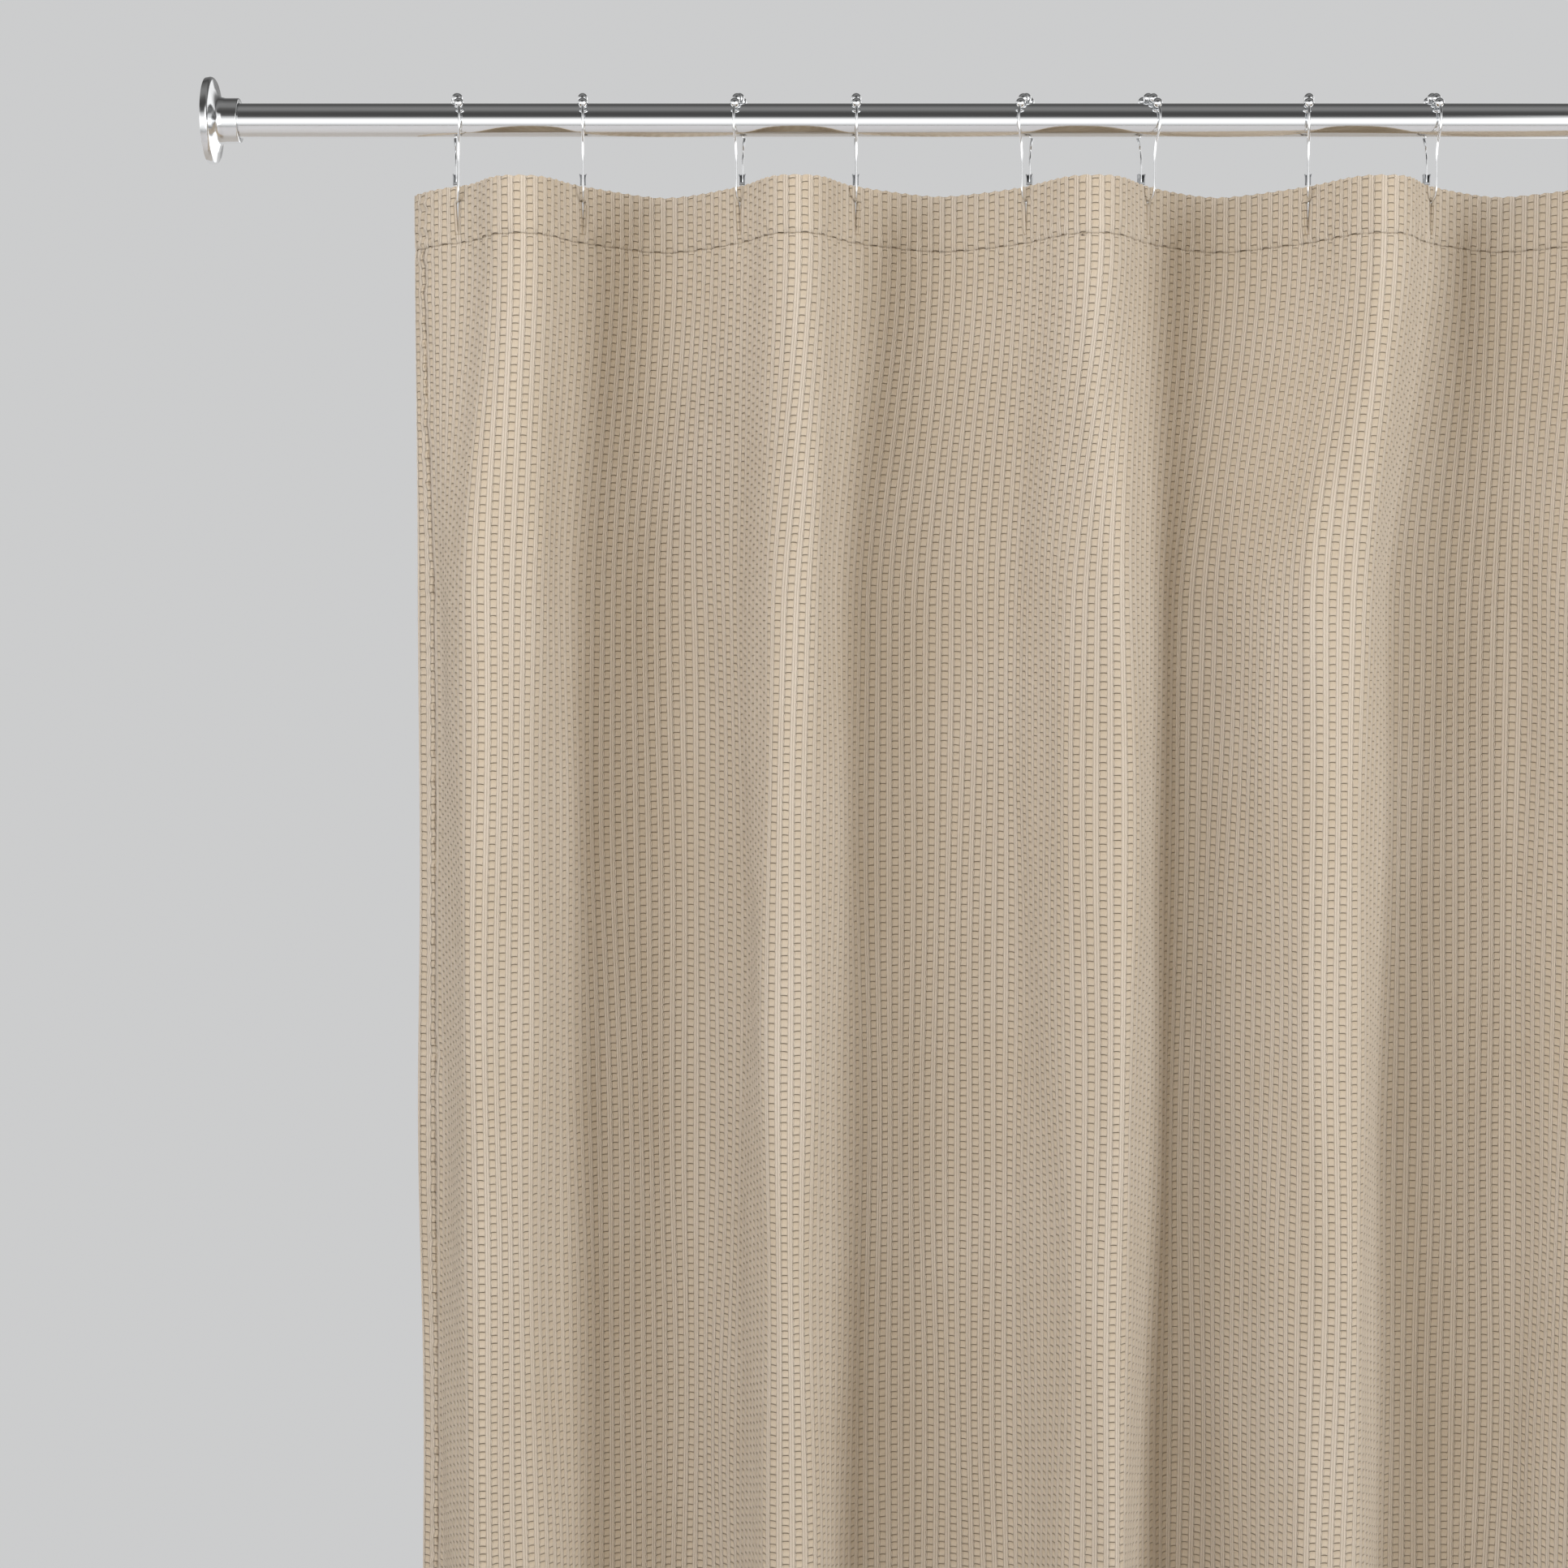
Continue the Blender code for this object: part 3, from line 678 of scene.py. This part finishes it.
def finishTree(work, given, geometry):
    realize = work.node("GeometryNodeRealizeInstances", Geometry=geometry)
    smooth = work.node("GeometryNodeSetShadeSmooth", Geometry=realize.outputs[0])
    paint = work.node("GeometryNodeSetMaterial", Geometry=smooth.outputs[0], Material=given["Material"])
    work.node("NodeGroupOutput", Made=paint.outputs[0])
    return work.tree


def sweepTree():
    work, given = nodeTree("sweptWire", [
        ("Radius", "NodeSocketFloat", 0.001), ("Sides", "NodeSocketInt", 12),
        ("Material", "NodeSocketMaterial", None)])
    curve = work.node("GeometryNodeMeshToCurve", Mesh=given["Paths"])
    girth = work.node("GeometryNodeInputNamedAttribute", {"data_type": "FLOAT"}, Name="girth").outputs[0]
    sized = work.node("GeometryNodeSetCurveRadius", Curve=curve.outputs[0], Radius=girth)
    circle = work.node("GeometryNodeCurvePrimitiveCircle", Radius=given["Radius"], Resolution=given["Sides"])
    skin = work.node("GeometryNodeCurveToMesh", Curve=sized.outputs[0], Profile_Curve=circle.outputs[0],
                     Fill_Caps=True)
    if "Scale" in skin.inputs:
        work.feed(skin.inputs["Scale"], girth)
    return finishTree(work, given, skin.outputs[0])


def stitchTree():
    work, given = nodeTree("stitchRow", [
        ("Pitch", "NodeSocketFloat", 0.003), ("Length", "NodeSocketFloat", 0.0024),
        ("Thickness", "NodeSocketFloat", 0.0004), ("Unevenness", "NodeSocketFloat", 0.12),
        ("Seed", "NodeSocketInt", 7), ("Material", "NodeSocketMaterial", None)])
    curve = work.node("GeometryNodeMeshToCurve", Mesh=given["Paths"])
    spaced = work.node("GeometryNodeResampleCurve", {"mode": "LENGTH"}, Curve=curve.outputs[0],
                       Length=given["Pitch"])
    points = work.node("GeometryNodeCurveToPoints", {"mode": "EVALUATED"}, Curve=spaced.outputs[0])
    ball = work.node("GeometryNodeMeshUVSphere", Segments=6, Rings=5, Radius=0.5)
    size = work.node("ShaderNodeCombineXYZ", X=given["Length"], Y=given["Thickness"], Z=given["Thickness"])
    stitch = work.node("GeometryNodeTransform", Geometry=ball.outputs[0], Scale=size.outputs[0])
    uneven = work.value(given["Unevenness"])
    sizes = work.node("FunctionNodeRandomValue", {"data_type": "FLOAT_VECTOR"}, Seed=given["Seed"])
    work.feed(sizes.inputs[0], 1 - uneven)
    work.feed(sizes.inputs[1], 1 + uneven)
    along = work.node("FunctionNodeAlignRotationToVector", {"axis": "X"}, Vector=points.outputs["Tangent"])
    laid = work.node("GeometryNodeInstanceOnPoints", Points=points.outputs[0], Instance=stitch.outputs[0],
                     Rotation=along.outputs[0], Scale=sizes.outputs[0])
    return finishTree(work, given, laid.outputs[0])


def pathMesh(name, paths, girths=None):
    mesh = bpy.data.meshes.new(name)
    points, edges, girth = [], [], []
    for index, path in enumerate(paths):
        start = len(points)
        points += [tuple(point) for point in path]
        edges += [(start + step, start + step + 1) for step in range(len(path) - 1)]
        girth += list(girths[index]) if girths else [1.0] * len(path)
    mesh.from_pydata(points, edges, [])
    mesh.attributes.new("girth", "FLOAT", "POINT").data.foreach_set("value", np.array(girth, np.float32))
    return mesh


def grow(name, tree, paths, values, girths=None):
    # runs a tree on paths and keeps its result as a plain mesh
    seed = bpy.data.objects.new(name + "Paths", pathMesh(name + "Paths", paths, girths))
    bpy.context.scene.collection.objects.link(seed)
    modifier = seed.modifiers.new("grow", "NODES")
    modifier.node_group = tree
    for item in tree.interface.items_tree:
        if item.in_out == "INPUT" and item.name in values:
            modifier[item.identifier] = values[item.name]
    graph = bpy.context.evaluated_depsgraph_get()
    mesh = bpy.data.meshes.new_from_object(seed.evaluated_get(graph), depsgraph=graph)
    bpy.data.objects.remove(seed)
    mesh.name = name
    piece = bpy.data.objects.new(name, mesh)
    bpy.context.scene.collection.objects.link(piece)
    return piece


sweep, stitches = sweepTree(), stitchTree()

sewing = {
    "pitch": 0.0031, "length": 0.0026, "thickness": 0.00042, "lift": 0.00012,
    "edgePitch": 0.0009, "edgeLength": 0.0017, "edgeThickness": 0.00055, "edgeLift": 0.00005,
    "edgeBeside": 0.0014, "belowWire": 0.0045,
}


def seamPath(across, down, lift):
    return clothFace(across, down, clothCut["faceOut"] + lift).T


def makeSeams():
    cut = clothCut
    bottom = cut["height"] - cut["bottomHem"]
    inset = 0.004
    acrossPlaces = np.linspace(inset, cut["width"] - inset, 1500)
    downPlaces = np.linspace(seamDepth + 0.003, bottom - 0.003, 1200)
    paths = [seamPath(acrossPlaces, np.full(1500, depth), sewing["lift"]) for depth in (seamDepth, bottom)]
    for line in (cut["sideHem"], cut["width"] - cut["sideHem"]):
        paths.append(seamPath(np.full(1200, line), downPlaces, sewing["lift"]))
    return grow("seamStitches", stitches, paths, {
        "Pitch": sewing["pitch"], "Length": sewing["length"], "Thickness": sewing["thickness"],
        "Material": threadMaterial})


def makeButtonholeEdges():
    # a raised bead of thread along each buttonhole below the wire, with a bar across its lower end
    cut, paths = clothCut, []
    down = np.linspace(cut["holeTop"] + sewing["belowWire"], cut["holeEnd"] + 0.0006, 60)
    share = np.clip((down - cut["holeTop"]) / (cut["holeEnd"] - cut["holeTop"]), 0, 1)
    width = slitHalfWidth(share) + sewing["edgeBeside"]
    for number in range(len(rings)):
        place = cut["endMargin"] + number * cut["pitch"]
        for side in (-1, 1):
            paths.append(seamPath(place + side * width, down, sewing["edgeLift"]))
        end = cut["holeEnd"] + 0.0008
        paths.append(seamPath(place + np.linspace(-0.0018, 0.0018, 8), np.full(8, end), sewing["edgeLift"]))
    return grow("buttonholeStitches", stitches, paths, {
        "Pitch": sewing["edgePitch"], "Length": sewing["edgeLength"], "Thickness": sewing["edgeThickness"],
        "Material": threadMaterial})


seamStitches = followCloth(makeSeams())
holeStitches = followCloth(makeButtonholeEdges())
print("seams and buttonholes stitched")


# rings, each drawn in its own plane: first number towards the wall, second number up
ring = {
    "wireRadius": 0.001,
    "beadRadius": 0.00375,
    "beadPitch": 0.0077,
    "beadCount": 5,
    "archHeight": 0.01675,
    "archHalfWidth": 0.01855,
    "neckDrop": 0.020,
    "neckHalfWidth": 0.0115,
    "legHalfWidth": 0.010,
    "legLength": 0.030,
    "hingeAngle": 86.0,
    "catchBottom": -0.046,
    "catchLength": 0.008,
}


def archPoint(angle):
    turn = math.radians(angle)
    return (ring["archHalfWidth"] * math.sin(turn), ring["archHeight"] * math.cos(turn))


def sideRun():
    start, neck = Vector((ring["archHalfWidth"], 0)), Vector((ring["neckHalfWidth"], -ring["neckDrop"]))
    leg = Vector((ring["legHalfWidth"], -ring["neckDrop"] - ring["legLength"] / 4))
    firstPull = start + Vector((0, -0.6 * ring["neckDrop"]))
    secondPull = neck + (neck - leg) * 1.1
    run = []
    for step in range(1, 19):
        t = step / 18
        run.append(start * (1 - t) ** 3 + firstPull * 3 * t * (1 - t) ** 2
                   + secondPull * 3 * t ** 2 * (1 - t) + neck * t ** 3)
    between = [neck.lerp(leg, step / 4) for step in range(1, 4)]
    return [tuple(point) for point in run + between + [leg]]


def bend():
    drop = ring["neckDrop"] + ring["legLength"]
    half = ring["legHalfWidth"]
    return [(-half * math.cos(a), -drop - half * math.sin(a)) for a in np.linspace(0, math.pi, 29)]


def roundEnds(path, girth, atStart, atEnd, radius):
    # adds a rounded nose beyond an end of the path
    path, girth = [Vector(point) for point in path], list(girth)
    for used, end, nextOne in ((atStart, 0, 1), (atEnd, -1, -2)):
        if not used:
            continue
        out = (path[end] - path[nextOne]).normalized()
        tip = path[end].copy()
        nose = [(tip + out * radius * math.sin(a), math.cos(a)) for a in (0.5, 0.95, 1.3, 1.52)]
        if end == 0:
            path = [point for point, _ in nose[::-1]] + path
            girth = [size for _, size in nose[::-1]] + girth
        else:
            path += [point for point, _ in nose]
            girth += [size for _, size in nose]
    return path, girth


def makeRing(number, x, turn, wireMaterial, beadMaterial, catchMaterial):
    label = f"{number:02d}"
    cadLabel = f"ring_{label}"
    body = cadLabel if number < len(rings) else clothBody
    back = Vector((-math.sin(turn), math.cos(turn), 0))
    across = Vector((math.cos(turn), math.sin(turn), 0))
    centre = Vector((x, 0, 0))

    def place(outline):
        return [centre + back * depth + Vector((0, 0, up)) for depth, up in outline]

    arch = [archPoint(angle) for angle in np.linspace(ring["hingeAngle"], -90, 61)]
    leg = [(-depth, up) for depth, up in sideRun()]
    legRun = [(-ring["legHalfWidth"], -ring["neckDrop"] - ring["legLength"] * share)
              for share in (0.4, 0.6, 0.8)]
    rear = [(ring["legHalfWidth"], -0.048), (ring["legHalfWidth"], ring["catchBottom"] + 0.0012)]
    outline = arch + leg + legRun + bend() + rear
    path, girth = roundEnds(place(outline), [1.0] * len(outline), True, False, ring["wireRadius"])
    wire = grow("ringWire" + label, sweep, [path], {
        "Radius": ring["wireRadius"], "Sides": 14, "Material": wireMaterial}, [girth])
    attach(wire, body)
    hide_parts(cadLabel + "_wire")

    arm = [archPoint(ring["hingeAngle"])] + [archPoint(88), archPoint(90)] + sideRun()
    arm += [(ring["legHalfWidth"], up) for up in (-0.032, -0.037, -0.0410, ring["catchBottom"] + 0.0023)]
    path, girth = roundEnds(place(arm), [1.0] * len(arm), True, True, ring["wireRadius"])
    clasp = grow("claspArm" + label, sweep, [path], {
        "Radius": ring["wireRadius"], "Sides": 14, "Material": wireMaterial}, [girth])
    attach(clasp, "clasp_" + label)
    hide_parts(cadLabel + "_clasp_arm")

    # round beads strung on the arch, each with a small flat where the wire comes out
    meanRadius = (ring["archHeight"] + ring["archHalfWidth"]) / 2
    beadAngle = math.degrees(ring["beadPitch"] / meanRadius)
    beadPaths, beadGirths = [], []
    stations = np.cos(np.linspace(math.pi * 0.90, math.pi * 0.10, 13))
    for bead in range(ring["beadCount"]):
        angle = (bead - (ring["beadCount"] - 1) / 2) * beadAngle
        middle = Vector(archPoint(angle))
        ahead = (Vector(archPoint(angle + 1)) - Vector(archPoint(angle - 1))).normalized()
        beadPaths.append(place([tuple(middle + ahead * ring["beadRadius"] * s) for s in stations]))
        beadGirths.append([math.sqrt(1 - s * s) for s in stations])
    beads = grow("ringBeads" + label, sweep, beadPaths, {
        "Radius": ring["beadRadius"], "Sides": 20, "Material": beadMaterial}, beadGirths)
    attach(beads, body)
    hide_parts(cadLabel + "_rollers")

    catch = makeCatch("ringCatch" + label, centre, back, across, catchMaterial)
    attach(catch, body)
    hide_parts(cadLabel + "_catch")
    return wire


catchShape = {"half": 0.0022, "notch": 0.0013, "floor": 0.002, "flare": 0.0007, "bevel": 0.00025}


def makeCatch(name, centre, back, across, material):
    # a small clip folded round the wire's end, open towards the inside of the ring
    half, notch = catchShape["half"], catchShape["notch"]
    low, high = ring["catchBottom"], ring["catchBottom"] + ring["catchLength"]
    floor = low + catchShape["floor"]
    outline = [(-half, -half), (-notch, -half), (-notch, notch), (notch, notch),
               (notch, -half), (half, -half), (half, half), (-half, half)]

    def place(side, depth, level, spread=0.0):
        side = side + math.copysign(spread, side)
        return centre + across * side + back * (ring["legHalfWidth"] + depth) + Vector((0, 0, level))

    clip = bmesh.new()
    levels = [(low, 0.0), (floor, 0.0), (high - 0.003, 0.0), (high, catchShape["flare"])]
    loops = [[clip.verts.new(place(side, depth, level, spread if depth < 0 else spread * 0.3))
              for side, depth in outline] for level, spread in levels[1:]]
    solid = [0, 5, 6, 7]
    base = [clip.verts.new(place(*outline[index], low)) for index in solid]
    for lower, upper in zip(loops, loops[1:]):
        for index in range(8):
            after = (index + 1) % 8
            clip.faces.new((lower[index], lower[after], upper[after], upper[index]))
    clip.faces.new(loops[-1])
    clip.faces.new([loops[0][index] for index in (1, 2, 3, 4)])
    clip.faces.new(base)
    clip.faces.new((base[0], base[1], loops[0][5], loops[0][4], loops[0][1], loops[0][0]))
    clip.faces.new((base[1], base[2], loops[0][6], loops[0][5]))
    clip.faces.new((base[2], base[3], loops[0][7], loops[0][6]))
    clip.faces.new((base[3], base[0], loops[0][0], loops[0][7]))
    bmesh.ops.recalc_face_normals(clip, faces=clip.faces)
    mesh = bpy.data.meshes.new(name)
    clip.to_mesh(mesh)
    clip.free()
    mesh.materials.append(material)
    piece = bpy.data.objects.new(name, mesh)
    bpy.context.scene.collection.objects.link(piece)
    bevel = piece.modifiers.new("roundedEdges", "BEVEL")
    bevel.width, bevel.segments, bevel.limit_method = catchShape["bevel"], 2, "ANGLE"
    return piece


finishes = {name: chromeFinish(name, choices) for name, choices in chromeLooks.items()}
for number, (x, turn) in enumerate(rings, 1):
    makeRing(number, x, turn, finishes["ringWire"], finishes["beadChrome"],
                              finishes["catchSteel"])


def lathe(name, profile, sides, material, shut):
    # turns (x, radius) pairs about the rod's axis
    count = len(profile)
    turnBy = math.tau / sides
    solid = bmesh.new()
    rowsMade = []
    for x, radius in profile:
        if radius < 1e-6:
            rowsMade.append([solid.verts.new((x, 0, 0))] * sides)
        else:
            rowsMade.append([solid.verts.new((x, radius * math.cos(turnBy * s), radius * math.sin(turnBy * s)))
                             for s in range(sides)])
    pairs = list(zip(range(count - 1), range(1, count))) + ([(count - 1, 0)] if shut else [])
    for first, second in pairs:
        for s in range(sides):
            corners = [rowsMade[first][s], rowsMade[first][(s + 1) % sides],
                       rowsMade[second][(s + 1) % sides], rowsMade[second][s]]
            corners = list(dict.fromkeys(corners))
            if len(corners) > 2:
                solid.faces.new(corners)
    bmesh.ops.recalc_face_normals(solid, faces=solid.faces)
    mesh = bpy.data.meshes.new(name)
    solid.to_mesh(mesh)
    solid.free()
    mesh.shade_smooth()
    mesh.set_sharp_from_angle(angle=math.radians(35))
    mesh.materials.append(material)
    piece = bpy.data.objects.new(name, mesh)
    bpy.context.scene.collection.objects.link(piece)
    return piece


def roundCorner(x, radius, size, fromAngle, toAngle, steps=6):
    return [(x + size * math.cos(math.radians(a)), radius + size * math.sin(math.radians(a)))
            for a in np.linspace(fromAngle, toAngle, steps)]


def makeRodAndFlanges():
    low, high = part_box("rod_tube")
    tube = lathe("rodTube", [(low.x, rod["bore"]), (low.x, rod["radius"]), (high.x, rod["radius"]),
                             (high.x, rod["bore"])], rod["sides"], finishes["rodChrome"], True)
    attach(tube, "rod")
    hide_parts("rod_tube")
    for name, node in (("leftFlange", "left_flange"), ("rightFlange", "right_flange")):
        low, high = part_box(node)
        depth, radius = high.x - low.x, high.z
        plate, socket = 0.006, rod["radius"] + 0.0003
        collar = socket + 0.0035
        profile = [(0, 0), (0, radius - 0.0005)]
        profile += roundCorner(plate - 0.0028, radius - 0.0028, 0.0028, 90, 20)
        profile += [(plate + 0.0007, radius - 0.008), (plate + 0.0016, collar + 0.006)]
        profile += [(plate + 0.0026, collar + 0.0024), (plate + 0.0045, collar + 0.0007),
                    (plate + 0.008, collar)]
        profile += roundCorner(depth - 0.001, collar - 0.001, 0.001, 90, 0)
        profile += [(depth - 0.0003, socket), (0.007, socket), (0.007, 0)]
        if node == "right_flange":
            profile = [(high.x - x, r) for x, r in profile]
        flange = lathe(name, profile, rod["sides"], finishes["flangeChrome"], False)
        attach(flange, "rod")
        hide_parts(node)


makeRodAndFlanges()
print("rod and flanges turned")


# floor and studio light
studioMiddle = (rod["wallToWall"] * 0.35, 0, -0.75)
studio = {
    "floorBelow": 0.022,
    "floorReach": 2.2,
    "floorColour": (0.56, 0.56, 0.55),
    "backdrop": (0.604, 0.608, 0.612),
    "ambient": (1.0, 0.76, 0.46),
    "ambientStrength": 0.30,
    # what the chrome reflects: degrees round the rod with a brightness, and the side panels' share
    "roomStrength": 3.0,
    "roomBands": [
        (-180, 0.65), (-140, 0.70), (-118, 0.72), (-102, 0.58), (-87, 0.30), (-73, 0.26), (-61, 0.24),
        (-49, 0.28), (-38, 0.50), (-27, 1.0), (-16, 1.35), (-4, 1.35), (6, 0.75), (17, 0.12), (28, 0.07),
        (41, 0.07), (53, 0.11), (66, 0.22), (81, 0.24), (97, 0.17), (119, 0.068), (165, 0.28), (180, 0.65),
    ],
    "panelShare": 0.30,
    "keyPlace": (-0.42, -2.28, 0.40), "keyTarget": studioMiddle, "keySize": (3.4, 1.5),
    "keyPower": 62.0, "keyColour": (1.0, 1.09, 1.30),
    "sidePlace": (3.45, -1.25, -0.10), "sideTarget": studioMiddle, "sideSize": (0.8, 1.8),
    "sidePower": 62.0, "sideColour": (1.0, 1.08, 1.25),
    "leftPlace": (-2.6, -1.3, -0.10), "leftTarget": studioMiddle, "leftSize": (0.8, 1.8),
    "leftPower": 16.0, "leftColour": (1.0, 1.08, 1.25),
    "backPlace": (0.3, 2.9, 0.7), "backTarget": studioMiddle, "backSize": (2.6, 1.6),
    "backPower": 45.0, "backColour": (1.0, 1.04, 1.12),
    "topPlace": (studioMiddle[0] - 0.2, -0.9, 0.9), "topTarget": (studioMiddle[0], 0, -0.9),
    "topSize": (2.0, 0.8), "topPower": 7.0, "topColour": (1.0, 0.97, 0.92),
}


def makeFloor(choices):
    low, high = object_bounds()
    level = low.z - choices["floorBelow"]
    mesh = bpy.data.meshes.new("floor")
    size = choices["floorReach"]
    middle = (low.x + high.x) / 2
    mesh.from_pydata([(middle + a * size, b * size, level) for a, b in ((-1, -1), (1, -1), (1, 1), (-1, 1))],
                     [], [(0, 1, 2, 3)])
    finish = Nodes(bpy.data.materials.new("paleFloor"))
    places = finish.node("ShaderNodeTexCoord")
    noise = finish.node("ShaderNodeTexNoise", Vector=places.outputs["Object"], Scale=3.0, Detail=3.0)
    tone = finish.mixColour(finish.value(noise.outputs[0]), choices["floorColour"],
                            tuple(c * 0.97 for c in choices["floorColour"]))
    mesh.materials.append(finish.set(Base_Color=tone, Roughness=0.7))
    floor = bpy.data.objects.new("floor", mesh)
    bpy.context.scene.collection.objects.link(floor)
    floor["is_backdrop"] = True


def makeWorld(choices):
    # the backdrop is plain; chrome sees a room's bands by angle; cloth gets a warm glow, brighter from above
    world = bpy.data.worlds.new("studio")
    room = Nodes(world)
    tree = room.tree
    output = tree.nodes["World Output"]
    backdrop = tree.nodes["Background"]
    backdrop.inputs["Color"].default_value = (*choices["backdrop"], 1.0)
    backdrop.inputs["Strength"].default_value = 1.0
    places = room.node("ShaderNodeTexCoord").outputs["Generated"]
    direction = room.node("ShaderNodeSeparateXYZ", Vector=places)
    towards, up = room.value(direction.outputs[1]), room.value(direction.outputs[2])
    glow = room.node("ShaderNodeBackground", Color=(*choices["ambient"], 1.0),
                     Strength=choices["ambientStrength"] * (0.45 + 1.1 * up.ramp(-0.6, 0.9)))
    turn = up.sum("ARCTAN2", towards * -1) / math.tau + 0.5
    strength = choices["roomStrength"]
    stops = [((angle + 180) / 360, (bright / strength,) * 3) for angle, bright in choices["roomBands"]]
    ramp = room.node("ShaderNodeValToRGB", {"stops": stops}, Fac=turn)
    # tall bright panels to the right and left, which only wires and beads reflect
    across = room.value(direction.outputs[0])
    panels = across.ramp(0.22, 0.32) * (1 - across.ramp(0.86, 0.94)) + 0.55 * (-1 * across).ramp(0.40, 0.50)
    sides = room.value(ramp.outputs[0]) + panels * (1 - abs(up).ramp(0.3, 0.5)) * choices["panelShare"]
    roomLight = room.node("ShaderNodeBackground", Color=sides, Strength=strength)
    path = room.node("ShaderNodeLightPath")
    notCamera = room.node("ShaderNodeMixShader", Fac=path.outputs["Is Glossy Ray"])
    tree.links.new(glow.outputs[0], notCamera.inputs[1])
    tree.links.new(roomLight.outputs[0], notCamera.inputs[2])
    whole = room.node("ShaderNodeMixShader", Fac=path.outputs["Is Camera Ray"])
    tree.links.new(notCamera.outputs[0], whole.inputs[1])
    tree.links.new(backdrop.outputs[0], whole.inputs[2])
    tree.links.new(whole.outputs[0], output.inputs[0])
    bpy.context.scene.world = world


def makeLamp(name, place, target, size, power, colour):
    # lights the cloth, and is not seen by the camera or in the chrome
    data = bpy.data.lights.new(name, "AREA")
    data.shape, data.size, data.size_y = "RECTANGLE", size[0], size[1]
    data.energy, data.color = power, colour
    lamp = bpy.data.objects.new(name, data)
    lamp.location = place
    lamp.rotation_euler = (Vector(target) - Vector(place)).to_track_quat("-Z", "Y").to_euler()
    lamp.visible_glossy, lamp.visible_camera = False, False
    bpy.context.scene.collection.objects.link(lamp)


makeFloor(studio)
makeWorld(studio)
for lamp in ("key", "side", "left", "back", "top"):
    makeLamp(lamp, *(studio[lamp + part] for part in ("Place", "Target", "Size", "Power", "Colour")))
print("studio lit")
